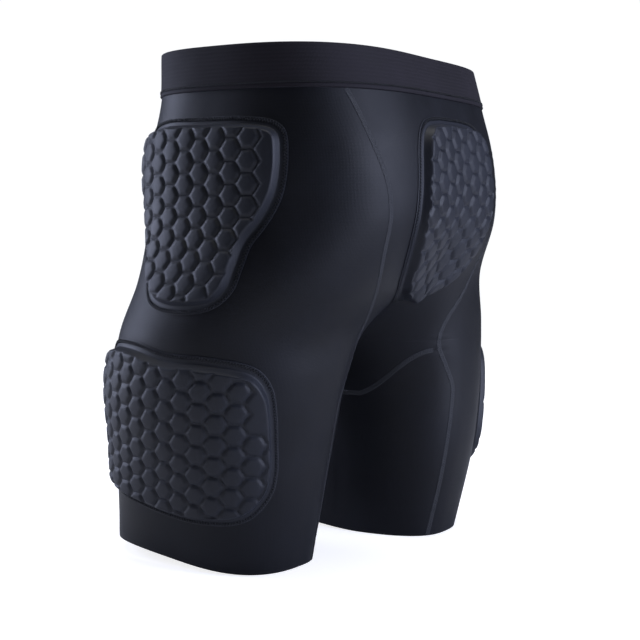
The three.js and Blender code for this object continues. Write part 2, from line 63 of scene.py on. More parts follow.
# ---- Body form, in millimetres ----
# One leg's outline at each height: the leg axis from the centre plane, the reach outwards from
# it, where the inner side lies, the reach to front and back, how square the outline is, how far
# the axis lies behind the middle of the garment, and the share of the stride.
OUTSEAM = 461.0
STRIDE = 33.0  # the left leg stands forward of the right by about twice this
LEVELS = np.array([
    # z, axis, outer, inner, front, back, square, lean, stride
    (0, 88, 63, 43, 98, 90, 2.7, -20, 1),
    (96, 92, 83, 33, 101, 98, 2.4, -8, 0.97),
    (176, 93, 101, 20.5, 109, 105, 2.25, -4, 0.73),
    (211, 89, 110, 3.5, 108, 105, 2.25, 0, 0.6),
    (256, 72, 120.5, -34, 110.5, 123.5, 2.35, 1.5, 0.09),
    (316, 44, 136, -65, 113, 148, 2.6, 4, 0),
    (376, 31, 148, -84, 113, 146, 2.65, 5.5, 0),
    (420, 27, 148, -92, 106, 132, 2.65, 9, 0),
    (461, 34, 140, -90, 99, 118, 2.8, 8, 0),
])
CLEFT = 12.0  # softness of the fold where the two thighs meet
STRIDE_BLEND = 50.0  # distance from the centre plane over which the stride builds up
STRIDE_TOP = 316.0  # above this height the form is the same on both sides
HEM_RISE = 12.0  # how much higher the hem sits at the front of the leg
HEM_RISE_START = 30.0  # the hem is level behind this line
HEM_RISE_DEPTH = 150.0  # and has risen fully this far in front of it
HEM_RISE_FADE = 106.0  # height over which the rise fades out
FORE_AFT = -8.39  # brings the middle of the garment over the origin

# ---- Seam lines: height, distance round the leg ----
BACK_SEAM = np.array([
    (0, 150), (45, 159), (90, 169), (130, 177), (150, 182), (170, 195), (190, 207),
    (218, 204), (247, 185), (280, 173), (317, 171), (345, 166), (372, 154), (404, 133), (430, 115),
], float)
FRONT_SEAM = np.array([
    (0, -178), (45, -188), (90, -198), (130, -208), (160, -222), (190, -236),
    (218, -216), (247, -191), (280, -178), (317, -172), (372, -160), (430, -145),
], float)
GUSSET_LOW = 142.0  # the gusset's lower edge at the inseam
GUSSET_HIGH = 187.0  # where that edge meets the front and back seams
GUSSET_FLAT = 0.25  # share of the inner thigh over which the edge runs level
GUSSET_BOW = 1.3  # how the edge bows on its way up

# ---- Layers, in millimetres above the form ----
KNIT = 1.2
GAP = 0.3  # between pieces that touch
SEAM_GAP = 0.2  # from a panel's edge to its seam line
PAD_SEAT = KNIT + GAP
PAD_STITCH_RADIUS = 0.42
BAND_STITCH_RADIUS = 0.28

# ---- Pads: outline as distance round the leg (or from the centre back) and height ----
HIP_OUTLINE = [
    (-4, 393), (40, 392), (66, 386), (72, 366), (69, 338), (58, 314), (45, 294), (40, 274),
    (36, 254), (24, 243), (-4, 240), (-30, 244), (-45, 254), (-57, 274), (-63, 294),
    (-70, 314), (-77, 338), (-80, 366), (-74, 386), (-48, 393),
]
THIGH_OUTLINE = [
    (0, 193), (40, 191), (76, 184), (91, 168), (95, 145), (95, 120), (94, 96), (88, 76),
    (68, 57), (30, 52), (0, 53), (-30, 57), (-68, 63), (-88, 76), (-97, 98),
    (-100, 125), (-99, 152), (-94, 178), (-78, 197), (-40, 200),
]
TAILBONE_HALF = [
    (0, 398), (30, 397), (49, 393), (59, 382), (64, 362), (67, 338), (68, 317), (66, 298),
    (58, 277), (47, 260), (29, 249), (0, 245),
]
BRIDGE = 9.0  # how far the tailbone pad's foot stands off the hollow below the seat
BRIDGE_REACH = 20.0  # distance from the centre back over which it comes down to the cloth
BRIDGE_TOP = 290.0  # the pad lies on the cloth above this height
BRIDGE_FADE = 45.0


# ---- Curves and the body form ----


def smooth(share):
    """An eased step from 0 to 1."""
    share = np.clip(share, 0.0, 1.0)
    return share * share * (3 - 2 * share)


def through(stops, values, at):
    """A smooth curve through values at uneven stops."""
    stops = np.asarray(stops, float)
    values = np.asarray(values, float)
    step = np.diff(stops)
    slope = np.diff(values) / step
    tangent = np.concatenate([[slope[0]], np.zeros(len(stops) - 2), [slope[-1]]])
    tangent[1:-1] = (slope[:-1] * step[1:] + slope[1:] * step[:-1]) / (step[1:] + step[:-1])
    k = np.clip(np.searchsorted(stops, at) - 1, 0, len(step) - 1)
    q = (at - stops[k]) / step[k]
    return (
        (2 * q**3 - 3 * q**2 + 1) * values[k]
        + (q**3 - 2 * q**2 + q) * step[k] * tangent[k]
        + (3 * q**2 - 2 * q**3) * values[k + 1]
        + (q**3 - q**2) * step[k] * tangent[k + 1]
    )


NORMAL_STEP = 0.8  # distance either side of a spot over which its normal is taken
PAD_NORMAL_STEP = 2.0  # the same for pads, which are stiffer and follow the form less closely
CROTCH_STEPS = 13
CROTCH_EASE = 2.2
CROTCH_TABLE = 7.5  # the form is tabled closely this far above and below the crotch
CROTCH_ROWS = 8.0  # and the panels have close rows this far


def crotch_steps(reach):
    """Distances from the crotch, closest where the form turns fastest."""
    return reach * np.linspace(0, 1, CROTCH_STEPS) ** CROTCH_EASE


class BodyForm:
    """The form that the garment is stretched over, tabled at close levels."""

    SPREAD = 360  # points from the side line to each end of an outline
    TURN = 1440  # points worked out on each half of a leg's outline
    CLOSE_ENOUGH = 1e-6  # millimetres, in finding the crotch

    def __init__(self):
        heights, inner = LEVELS[:, 0], LEVELS[:, 3]
        low, high = heights[2], heights[4]
        while high - low > self.CLOSE_ENOUGH:
            middle = (low + high) / 2
            if through(heights, inner, middle) > CLEFT:
                low = middle
            else:
                high = middle
        close = crotch_steps(CROTCH_TABLE)
        levels = np.concatenate([np.arange(0, OUTSEAM + 1), low + close, low - close])
        self.levels = np.unique(np.round(levels, 4))
        self.crotch = float(self.levels[np.argmin(abs(self.levels - low))])
        rows = [[self._outline(side, z) for z in self.levels] for side in (1, -1)]
        self.plan = np.array([[row[0] for row in half] for half in rows])
        self.front = np.array([[row[1] for row in half] for half in rows])
        self.back = np.array([[row[2] for row in half] for half in rows])

    def _outline(self, side, z):
        axis, outer, inner, front, back, square, lean, stride = (
            through(LEVELS[:, 0], LEVELS[:, i], z) for i in range(1, 9)
        )
        angle = np.linspace(-math.pi, math.pi, 2 * self.TURN + 1)
        c, s = np.cos(angle), np.sin(angle)
        across = np.abs(c) ** (2 / square)
        along = np.sign(s) * np.abs(s) ** (2 / square)
        x = axis + np.where(c >= 0, outer, inner - axis) * across
        y = lean + np.where(s >= 0, back, front) * along
        inside = np.flatnonzero(x >= CLEFT)
        first, last, middle = inside[0], inside[-1], self.TURN
        if z >= self.crotch:
            outside = np.flatnonzero(x < CLEFT)
            first = outside[outside < middle].max(initial=-1) + 1
            last = outside[outside > middle].min(initial=len(x)) - 1
        px, py = x[first : last + 1], y[first : last + 1]
        px = np.sqrt(np.maximum(px**2 - CLEFT**2, 0))
        ends = []
        for here, there in ((first, first - 1), (last, last + 1)):
            if 0 <= there < len(x):
                share = (x[here] - CLEFT) / (x[here] - x[there])
                ends.append(y[here] + (y[there] - y[here]) * share)
            else:
                ends.append(None)
        zero = middle - first
        if ends[0] is not None:
            px, py, zero = np.insert(px, 0, 0), np.insert(py, 0, ends[0]), zero + 1
        if ends[1] is not None:
            px, py = np.append(px, 0), np.append(py, ends[1])
        if z < STRIDE_TOP:
            py = py - side * STRIDE * stride * px / np.hypot(px, STRIDE_BLEND)
        length = np.concatenate([[0], np.cumsum(np.hypot(np.diff(px), np.diff(py)))])
        length -= length[zero]
        share = np.linspace(0, 1, self.SPREAD + 1)
        at = np.concatenate([length[0] * share[:0:-1], length[-1] * share])
        plan = np.stack([side * np.interp(at, length, px), np.interp(at, length, py)], -1)
        return plan, length[0], length[-1]

    def _between(self, z):
        z = np.clip(z, 0, OUTSEAM)
        k = np.clip(np.searchsorted(self.levels, z, side="right") - 1, 0, len(self.levels) - 2)
        return k, (z - self.levels[k]) / (self.levels[k + 1] - self.levels[k])

    def reach(self, side, toward, z):
        """The end of the outline towards the back (+1) or front (-1)."""
        table = self.back if toward > 0 else self.front
        half = (np.asarray(side) < 0).astype(int)
        k, q = self._between(np.asarray(z, float))
        return table[half, k] * (1 - q) + table[half, k + 1] * q

    def point(self, side, s, z):
        """Bare points of the form, in millimetres. Past an end, s carries on round the inseam
        below the crotch, and on the other side above it."""
        side, s, z = (np.array(v, float) for v in np.broadcast_arrays(side, s, z))
        back, front = self.reach(side, 1, z), self.reach(side, -1, z)
        over_back, over_front = s > back, s < front
        below = z < self.crotch
        s = np.where(over_back & below, s + front - back, s)
        s = np.where(over_front & below, s + back - front, s)
        crossed = (over_back | over_front) & ~below
        other_back, other_front = self.reach(-side, 1, z), self.reach(-side, -1, z)
        s = np.where(crossed & over_back, other_back - (s - back), s)
        s = np.where(crossed & over_front, other_front + (front - s), s)
        side = np.where(crossed, -side, side)
        back, front = self.reach(side, 1, z), self.reach(side, -1, z)
        share = np.clip(np.where(s > 0, s / back, -s / front), -1, 1)
        column = (share + 1) * self.SPREAD
        j = np.clip(column.astype(int), 0, 2 * self.SPREAD - 1)
        r = (column - j)[..., None]
        k, q = self._between(z)
        q = q[..., None]
        half = (side < 0).astype(int)
        low = self.plan[half, k, j] * (1 - r) + self.plan[half, k, j + 1] * r
        high = self.plan[half, k + 1, j] * (1 - r) + self.plan[half, k + 1, j + 1] * r
        xy = low * (1 - q) + high * q
        fade = np.clip(1 - z / HEM_RISE_FADE, 0, None)
        rise = HEM_RISE * smooth((HEM_RISE_START - xy[..., 1]) / HEM_RISE_DEPTH) * fade
        return np.stack([xy[..., 0], xy[..., 1] + FORE_AFT, z + rise], -1)

    def normal(self, side, s, z, step=NORMAL_STEP):
        """Outward normals, level at the open edges so that those end in flat faces."""
        side, s, z = (np.array(v, float) for v in np.broadcast_arrays(side, s, z))

        def same_share(height):
            toward_back = self.reach(side, 1, height) / self.reach(side, 1, z)
            toward_front = self.reach(side, -1, height) / self.reach(side, -1, z)
            return s * np.where(s > 0, toward_back, toward_front)

        top, bottom = np.minimum(z + step, OUTSEAM), np.maximum(z - step, 0)
        around = self.point(side, s + step, z) - self.point(side, s - step, z)
        up = self.point(side, same_share(top), top) - self.point(side, same_share(bottom), bottom)
        normal = np.cross(around, up) * side[..., None]
        edge = (z <= 0) | (z >= OUTSEAM)
        normal[..., 2] = np.where(edge, 0, normal[..., 2])
        return normal / np.linalg.norm(normal, axis=-1, keepdims=True)

    def place(self, side, s, z, lift, step=NORMAL_STEP):
        """Points lifted off the form, in metres, with the cloth's own slight unevenness."""
        height = np.asarray(lift, float) + unevenness(side, s, z)
        points = self.point(side, s, z) + self.normal(side, s, z, step) * height[..., None]
        return points * MM


def seam_line(toward, z):
    """Distance round the leg of the back (+1) or front (-1) seam."""
    line = BACK_SEAM if toward > 0 else FRONT_SEAM
    return through(line[:, 0], line[:, 1], np.asarray(z, float))


PUCKER_PITCH = 9.0
PUCKER_REACH = 7.0  # from the seam
HEM_TRUE = 30.0  # the hem lies true over about this height
WAIST_TRUE = 40.0  # and so do the waistband and the cloth just under it


def unevenness(side, s, z):
    """Long shallow swells, and small puckers beside the seams, in millimetres."""
    side, s, z = (np.asarray(v, float) for v in (side, s, z))
    # Three waves of different slants and lengths, so that no pattern repeats over the body.
    swell = np.sin(s / 21 + z / 34 + side) * np.sin(z / 27 - s / 47) + 0.5 * np.sin(z / 15 + s / 31)
    near = sum(np.exp(-(((s - seam_line(toward, z)) / PUCKER_REACH) ** 2)) for toward in (1, -1))
    pucker = near * (np.cos(z * 2 * math.pi / PUCKER_PITCH + side) - 1)
    free = smooth(z / HEM_TRUE) * smooth((OUTSEAM - WAIST_TRUE - z) / HEM_TRUE)
    sizes = bpy.context.scene.shorts_sizes
    # Blender keeps a setting in single precision, and rounding brings back what was written.
    return free * (round(sizes.swell, 6) * swell + round(sizes.pucker, 6) * pucker)


form = BodyForm()

# Rows of spots for the panels, closer where the form turns fastest.
WAISTBAND_HEIGHT = 38.0
WAIST_SEAM = OUTSEAM - WAISTBAND_HEIGHT
GUSSET_ROWS = 15
LEG_ROWS = 36
BODY_ROWS = 56
gusset_climb = np.linspace(0, 1, GUSSET_ROWS)
gusset_rows = GUSSET_LOW + (GUSSET_HIGH - GUSSET_LOW) * np.sin(gusset_climb * math.pi / 2) ** GUSSET_BOW
turn = crotch_steps(CROTCH_ROWS)
saddle_rows = np.concatenate([form.crotch - turn[::-1], form.crotch + turn[1:]])
leg_rows = np.linspace(0, GUSSET_LOW, LEG_ROWS)
body_rows = np.linspace(saddle_rows[-1], WAIST_SEAM - GAP, BODY_ROWS)[1:]
upper_rows = np.concatenate([saddle_rows[saddle_rows > GUSSET_HIGH], body_rows])


def gusset_share(z):
    """How far along the inner thigh, from the inseam to the seam, the gusset's edge is."""
    climb = np.clip((np.asarray(z, float) - GUSSET_LOW) / (GUSSET_HIGH - GUSSET_LOW), 0, 1)
    return GUSSET_FLAT + (1 - GUSSET_FLAT) * (2 / math.pi) * np.arcsin(climb ** (1 / GUSSET_BOW))


def inner_spot(side, toward, share, z):
    """A distance round the leg between the inseam (0) and the seam (1)."""
    end = form.reach(side, toward, z)
    return end + (seam_line(toward, z) - end) * share


# ---- Meshes ----

SHARP = math.radians(48)  # edges sharper than this are shaded as creases
WELD = 2  # points that agree to this many decimals of a millimetre are one


def new_piece(name, points, faces, uvs, material, slot, replaces):
    """A finished mesh piece: uvs holds one (u, v) in metres for each corner of each face."""
    mesh = bpy.data.meshes.new(name)
    mesh.from_pydata([tuple(p) for p in points], [], [tuple(int(i) for i in f) for f in faces])
    layer = mesh.uv_layers.new(name="UVMap")
    layer.data.foreach_set("uv", np.asarray(uvs, np.float32).ravel())
    mesh.materials.append(material)
    mesh.validate()
    piece = bpy.data.objects.new(name, mesh)
    bpy.context.scene.collection.objects.link(piece)
    deselect()
    piece.select_set(True)
    bpy.context.view_layer.objects.active = piece
    bpy.ops.object.shade_smooth_by_angle(angle=SHARP)
    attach(piece, BODY)
    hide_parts(*replaces)
    return piece


def deselect():
    for other in bpy.context.selected_objects:
        other.select_set(False)


class Patchwork:
    """Patches of four-cornered cells on the form, joined where they meet."""

    def __init__(self):
        self.spots = []
        self.cells = []
        self.uvs = []
        self.count = 0

    def add(self, side, rows, across=None):
        """rows is a list of (s along the row, z). across turns s and z into a pattern's u."""
        s = np.array([r[0] for r in rows])
        z = np.array([np.broadcast_to(r[1], s.shape[1]) for r in rows])
        u = s if across is None else across(s, z)
        index = self.count + np.arange(s.size).reshape(s.shape)
        cell = np.stack([index[:-1, :-1], index[:-1, 1:], index[1:, 1:], index[1:, :-1]], -1)
        cell = cell.reshape(-1, 4)
        self.cells.append(cell if side > 0 else cell[:, ::-1])
        self.spots.append(np.stack([np.full(s.size, side), s.ravel(), z.ravel()], -1))
        self.uvs.append(np.stack([u.ravel(), z.ravel()], -1) * MM)
        self.count += s.size

    def shell(self, inner, outer):
        """Points, faces and uvs of a closed layer between two lifts."""
        spots = np.concatenate(self.spots)
        uvs = np.concatenate(self.uvs)
        cells = np.concatenate(self.cells)
        base = form.point(*spots.T)
        _, first, same = np.unique(
            np.round(base, WELD), axis=0, return_index=True, return_inverse=True)
        same = same.ravel()
        spots = spots[first]
        points = np.concatenate([form.place(*spots.T, outer), form.place(*spots.T, inner)])
        count = len(spots)
        faces, corners = [], []
        for cell in cells:
            keep = [i for n, i in enumerate(cell) if same[i] != same[cell[n - 1]]]
            if len(keep) > 2:
                faces.append([same[i] for i in keep])
                corners.append([uvs[i] for i in keep])
        edges = {(f[i - 1], f[i]) for f in faces for i in range(len(f))}
        closed, closed_uvs = list(faces), list(corners)  # the outer side, then the inner and rims
        for face, uv in zip(faces, corners):
            closed.append([i + count for i in reversed(face)])
            closed_uvs.append(uv[::-1])
            for i in range(len(face)):
                p, q = face[i - 1], face[i]
                if (q, p) not in edges:
                    closed.append([p, p + count, q + count, q])
                    closed_uvs.append([uv[i - 1], uv[i - 1], uv[i], uv[i]])
        flat_uvs = [c for face in closed_uvs for c in face]
        return points, closed, flat_uvs

    def extent(self):
        """(width, length, area) of the worn cloth in metres. The width is measured between the
        ends of a row, so on an inner thigh panel it also takes in the outer leg between them."""
        width = length = area = 0.0
        for spots, cells in zip(self.spots, self.cells):
            points = form.point(*spots.T) * MM
            offset = cells.min()
            a, b, c, d = (points[cells[:, i] - offset] for i in range(4))
            area += np.linalg.norm(np.cross(c - a, d - b), axis=1).sum() / 2
        spots = np.concatenate(self.spots)
        for z in np.unique(spots[:, 2]):
            row = spots[spots[:, 2] == z]
            width = max(width, sum(np.ptp(row[row[:, 0] == side, 1]) for side in set(row[:, 0])) * MM)
        length = np.ptp(spots[:, 2]) * MM
        return width, length, area


STRETCH_ROUND = 1.12  # worn knit is this much wider than the flat cut


def knit_panel(name, work):
    """A stretched panel of body knit, with its flat cut worked back from the worn size."""
    piece = new_piece(f"{name}_knit", *work.shell(0, KNIT), finish_of(body_knit), "knit", [name])
    width, length, area = work.extent()
    width /= STRETCH_ROUND


def resample(points, normals, step):
    """The same path at even steps, with its unit normals."""
    length = np.concatenate([[0], np.cumsum(np.linalg.norm(np.diff(points, axis=0), axis=1))])
    count = max(int(round(length[-1] / step)), 2)
    at = np.linspace(0, length[-1], count + 1)
    even = np.stack([np.interp(at, length, points[:, i]) for i in range(3)], -1)
    turned = np.stack([np.interp(at, length, normals[:, i]) for i in range(3)], -1)
    return even, turned / np.linalg.norm(turned, axis=1, keepdims=True), at


def frame_along(points, normals, closed):
    """Tangents, and the direction across the path, in the surface."""
    if closed:
        tangent = np.roll(points, -1, 0) - np.roll(points, 1, 0)
    else:
        tangent = np.gradient(points, axis=0)
    tangent /= np.linalg.norm(tangent, axis=1, keepdims=True)
    across = np.cross(tangent, normals)
    across /= np.linalg.norm(across, axis=1, keepdims=True)
    return tangent, across, np.cross(across, tangent)


def sweep(sections, closed, pitch):
    """Faces and uvs for rings of points carried along a path: sections is (n, k, 3)."""
    n, k = sections.shape[:2]
    points = sections.reshape(-1, 3)
    faces, uvs = [], []
    for i in range(n if closed else n - 1):
        j = (i + 1) % n
        for m in range(k):
            w = (m + 1) % k
            faces.append([i * k + m, j * k + m, j * k + w, i * k + w])
            uvs += [(i * pitch, m / k), ((i + 1) * pitch, m / k),
                    ((i + 1) * pitch, (m + 1) / k), (i * pitch, (m + 1) / k)]
    if not closed:
        faces += [list(range(k))[::-1], [(n - 1) * k + m for m in range(k)]]
        uvs += [(0, m / k) for m in range(k)][::-1] + [((n - 1) * pitch, m / k) for m in range(k)]
    return points, faces, uvs


# ---- Materials ----


def linear(hex_colour):
    """An sRGB hex colour as linear RGBA."""
    values = [int(hex_colour[i : i + 2], 16) / 255 for i in (1, 3, 5)]
    return tuple(v / 12.92 if v <= 0.04045 else ((v + 0.055) / 1.055) ** 2.4 for v in values) + (1.0,)


def add(tree, kind, settings=None, **inputs):
    """Adds a node, sets its properties, and sets or links its inputs (in_0 is input number 0)."""
    made = tree.nodes.new(kind)
    for key, value in (settings or {}).items():
        setattr(made, key, value)
    for key, value in inputs.items():
        number = key[3:]
        socket = made.inputs[int(number) if number.isdigit() else key.replace("_", " ")]
        if isinstance(value, bpy.types.NodeSocket):
            tree.links.new(value, socket)
        else:
            socket.default_value = value
    return made


WAVE_PERIOD = 2 * math.pi / 20  # of Blender's wave texture at scale 1
CLOUDS = 22.0  # noise scale of the slow drift in shade over the cloth: patches of about 45 mm
GRAIN = 900.0  # noise scale of the grain: about 1 mm
COOL = "#9aa4c0"
WARM = "#a8a2b4"


def rows_of_loops(tree, direction, pitch_mm, where):
    """Even rows of stitches or threads, a little irregular."""
    return add(tree, "ShaderNodeTexWave", {"wave_type": "BANDS", "bands_direction": direction},
               Vector=where, Scale=WAVE_PERIOD / (pitch_mm * MM), Distortion=0.6, Detail=1.0)


def cloth_material(name, dark, light, roughness, sheen, weave, relief, specular, tint=COOL):
    """A cloth with crossing rows of stitches or threads. dark and light are linear colours, weave
    is the pitch along and across in millimetres, and relief the weave's height in millimetres."""
    material = bpy.data.materials.new(name)
    material.use_nodes = True
    tree = material.node_tree
    tree.nodes.clear()
    spot = add(tree, "ShaderNodeTexCoord")
    wander = add(tree, "ShaderNodeTexNoise", Vector=spot.outputs["Object"], Scale=CLOUDS, Detail=3.0)
    grain = add(tree, "ShaderNodeTexNoise", Vector=spot.outputs["UV"], Scale=GRAIN, Detail=2.0)
    along = rows_of_loops(tree, "X", weave[0], spot.outputs["UV"])
    across = rows_of_loops(tree, "Y", weave[1], spot.outputs["UV"])
    loops = add(tree, "ShaderNodeMath", {"operation": "MULTIPLY"},
                in_0=along.outputs["Fac"], in_1=across.outputs["Fac"])
    surface = add(tree, "ShaderNodeMath", {"operation": "ADD"},
                  in_0=loops.outputs[0], in_1=grain.outputs["Fac"])
    tone = add(tree, "ShaderNodeMapRange", Value=wander.outputs["Fac"],
               From_Min=0.3, From_Max=0.7, To_Min=0.25, To_Max=0.6)
    speck = add(tree, "ShaderNodeMapRange", Value=surface.outputs[0],
                From_Min=0.2, From_Max=1.4, To_Min=-0.25, To_Max=0.25)
    mixed = add(tree, "ShaderNodeMath", {"operation": "ADD", "use_clamp": True},
                in_0=tone.outputs[0], in_1=speck.outputs[0])
    colour = add(tree, "ShaderNodeMix", {"data_type": "RGBA"},
                 in_0=mixed.outputs[0], in_6=dark, in_7=light)
    rough = add(tree, "ShaderNodeMapRange", Value=wander.outputs["Fac"],
                From_Min=0.3, From_Max=0.7, To_Min=roughness - 0.04, To_Max=roughness + 0.05)
    bump = add(tree, "ShaderNodeBump", Height=surface.outputs[0], Distance=relief * MM, Strength=0.8)
    shader = add(tree, "ShaderNodeBsdfPrincipled", Normal=bump.outputs[0],
                 Roughness=rough.outputs[0], IOR=1.5, Base_Color=colour.outputs[2],
                 Specular_IOR_Level=specular, Sheen_Weight=sheen, Sheen_Roughness=0.35,
                 Sheen_Tint=linear(tint))
    add(tree, "ShaderNodeOutputMaterial", Surface=shader.outputs[0])
    return material


def shades(name):
    """A cloth's dark and light shade from the settings."""
    colours = bpy.context.scene.shorts_colours
    return [(*getattr(colours, f"{name}_{shade}"), 1.0) for shade in ("dark", "light")]


def body_knit():
    # Polyester and elastane warp knit, worn stretched: close, smooth and satin, so broad lights
    # run over it. Its loops are really 0.4 mm and are drawn at 1.2 mm so that they show.
    return cloth_material("satin_warp_knit", *shades("knit"), 0.5, 0.02, (1.2, 1.2), 0.07, 0.22)


def band_webbing():
    # Woven elastic webbing: fine upright ribs of covered rubber, matt, a shade warmer.
    return cloth_material(
        "woven_elastic_webbing", *shades("band"), 0.72, 0.05, (1.1, 2.4), 0.12, 0.2, WARM)


def band_facing():
    # Brushed jersey against the skin: no gloss at all.
    return cloth_material(
        "brushed_jersey", linear("#121216"), linear("#1e1e23"), 0.9, 0.4, (1.6, 1.6), 0.08, 0.2)


def pad_cover():
    # The same knit, bonded to the foam and hot pressed: paler and with a flatter weave.
    return cloth_material(
        "pressed_knit_on_foam", *shades("pad"), 0.52, 0.05, (1.2, 1.2), 0.04, 0.32)


def sewing_thread():
    # Twisted textured polyester thread: matt, with the twist's fine ridges.
    return cloth_material(
        "textured_polyester_thread", *shades("thread"), 0.6, 0.03, (0.9, 0.4), 0.10, 0.45)


def hem_film():
    # Bonded polyurethane tape inside the hem: smooth, faintly glossy.
    return cloth_material(
        "bonded_film_tape", linear("#0e0e11"), linear("#17171b"), 0.35, 0.0, (3.0, 3.0), 0.02, 0.5)


MATERIALS = {}


def finish_of(maker):
    """The material that a function makes, made once."""
    if maker.__name__ not in MATERIALS:
        MATERIALS[maker.__name__] = maker()
    return MATERIALS[maker.__name__]


# ---- Panels ----

SIDE_COLUMNS = 72
CENTRE_COLUMNS = 34
INNER_COLUMNS = 26


def span(start, end, count):
    """Even spots with count cells between them."""
    return np.linspace(start, end, count + 1)


def make_centre_panel(name, toward):
    """The back (+1) or front (-1) panel, between its two long seams."""
    work = Patchwork()
    low = np.maximum(gusset_rows, GUSSET_LOW + GAP)
    for side in (1, -1):
        rows = []
        for z in np.concatenate([low, upper_rows]):
            share = gusset_share(z - GAP) if z < GUSSET_HIGH else 1.0
            start = inner_spot(side, toward, share, z) + toward * SEAM_GAP
            end = form.reach(side, toward, z)
            if z <= form.crotch:
                end = end - toward * SEAM_GAP
            row = span(start, end, CENTRE_COLUMNS)
            rows.append((row if toward > 0 else row[::-1], z))
        ends = lambda s, z, side=side: side * (s - form.reach(side, toward, z))
        work.add(side, rows, ends)
    knit_panel(name, work)


def make_side_panel(name, side):
    """The outer leg, from the front seam to the back seam."""
    work = Patchwork()
    rows = [
        (span(seam_line(-1, z) + SEAM_GAP, seam_line(1, z) - SEAM_GAP, SIDE_COLUMNS), z)
        for z in np.concatenate([leg_rows, gusset_rows[1:], upper_rows])
    ]
    work.add(side, rows)
    knit_panel(name, work)


def make_inner_thigh_panel(name, side):
    """The inner leg, with horns that run up to the seams under the seat and in front."""
    work = Patchwork()
    for toward in (1, -1):
        def row(z, near, far, count, toward=toward):
            start = inner_spot(side, toward, near, z) + toward * SEAM_GAP * (near == 1)
            line = span(start, inner_spot(side, toward, far, z), count)
            return (line if toward > 0 else line[::-1], z)

        ends = lambda s, z, toward=toward: toward * (s - form.reach(side, toward, z))
        low = [*leg_rows[:-1], GUSSET_LOW - GAP]
        work.add(side, [row(z, 1, GUSSET_FLAT, INNER_COLUMNS) for z in low], ends)
        work.add(side, [row(z, GUSSET_FLAT, 0, INNER_COLUMNS // 3) for z in low], ends)
        horn = [GUSSET_LOW - GAP, *gusset_rows[:-1]]
        work.add(side, [row(z, 1, gusset_share(z + GAP), INNER_COLUMNS) for z in horn], ends)
    knit_panel(name, work)


# ---- Bands that run all the way round ----

BAND_BEND_STEPS = 7  # round each rolled edge
BAND_THICK = 2.2
BAND_LIP = 0.5  # how much thicker the band is where it is turned in over the knit
BAND_LIP_REACH = 3.0  # height over which the lip fades out
BAND_ROLL = 0.9  # height of its rolled edges
BAND_COLUMNS = 200  # on each side of the waist
BAND_STITCHES = 1200  # points of the zigzag on each side of the waist
BAND_STITCH_LIFT = 0.25  # of the zigzag off the band
BAND_STITCH_LINE = 4.2  # the zigzag's middle, above the band's lower edge
BAND_ZIGZAG = 0.8  # half its width
TAPE_ROLL = 0.4  # height of the rolled edges of the facing and the hem tape
TAPE_ROWS = 6
FACING_COLUMNS = 160
FACING_INSET = 2.0  # from the band's edges
FACING_BACK = 1.3  # its inner side, behind the form
HEM_BACK = 1.6  # the same for the hem tape
HEM_LOW = 2.0
HEM_COLUMNS = 240
HEM_TAPE = 25.0  # its width


def waist_loop(z, lifts, columns):
    """Sections of a band round the waist: z and lifts give the profile."""
    rings = []
    for side in (1, -1):
        share = np.arange(columns) / columns
        share = share if side > 0 else 1 - share
        for u in share:
            s = [form.reach(side, -1, h) * (1 - u) + form.reach(side, 1, h) * u for h in z]
            rings.append((side, s))
    sides = np.repeat([r[0] for r in rings], len(z)).reshape(-1, len(z))
    s = np.array([r[1] for r in rings])
    return form.place(sides, s, np.broadcast_to(z, s.shape), np.broadcast_to(lifts, s.shape))


def band_profile(low, high, inner, outer, edge, count=14):
    """A flat band's section with rolled edges: heights and lifts, round the section."""
    middle = (inner + outer) / 2
    half = (outer - inner) / 2
    rise = np.linspace(low + edge, high - edge, count)
    bend = np.linspace(0, math.pi, BAND_BEND_STEPS)[1:-1]
    z = np.concatenate([rise, high - edge + edge * np.sin(bend), rise[::-1],
                        low + edge - edge * np.sin(bend)])
    lift = np.concatenate([np.full(count, outer), middle + half * np.cos(bend),
                           np.full(count, inner), middle - half * np.cos(bend)])
    return z, lift


def band_piece(name, sections, width, material, slot, replaces):
    """A stretched band: sections run round it."""
    middle = sections.mean(1)
    length = np.linalg.norm(middle - np.roll(middle, 1, 0), axis=1).sum()
    points, faces, uvs = sweep(sections, True, length / len(sections))
    uvs = [(u, v * 2 * width) for u, v in uvs]
    piece = new_piece(name, points, faces, uvs, material, slot, replaces)
    return piece


# ---- Seams and stitching ----

SEAM_HALF = 2.3  # half a seam's width
SEAM_STEP = 0.6
SEAM_COLUMNS = 15
SEAM_PITCH = 2.4  # of the stitches along it
SEAM_SLANT = 1.6  # how far along it a cover thread runs in half its width
SEAM_START = 0.6  # above the hem
LEVEL_RUN = ((1, 0.66), (1, 0.33), (1, 0), (-1, 0.33), (-1, 0.66), (-1, 1))  # of the gusset seam
CROTCH_SEAM_STEPS = 30
CROTCH_SEAM_NEAR = 0.004  # share of its drop at which it turns over to the other leg
CROTCH_SEAM_END = 3.0  # above the gusset seams
SEAM_FLOOR = 0.04  # heights above the knit, and of each part above the last
SEAM_BASE = 0.12
SEAM_EDGE = 0.1
NEEDLE_RISE = 0.2
COVER_RISE = 0.26
NEEDLE_ROW = 0.74  # shares of the half width
NEEDLE_ROW_WIDTH = 0.17
COVER_END = 0.7
SEAM_EDGE_SLOPE = 5  # the seam comes down to the knit over one part in this many


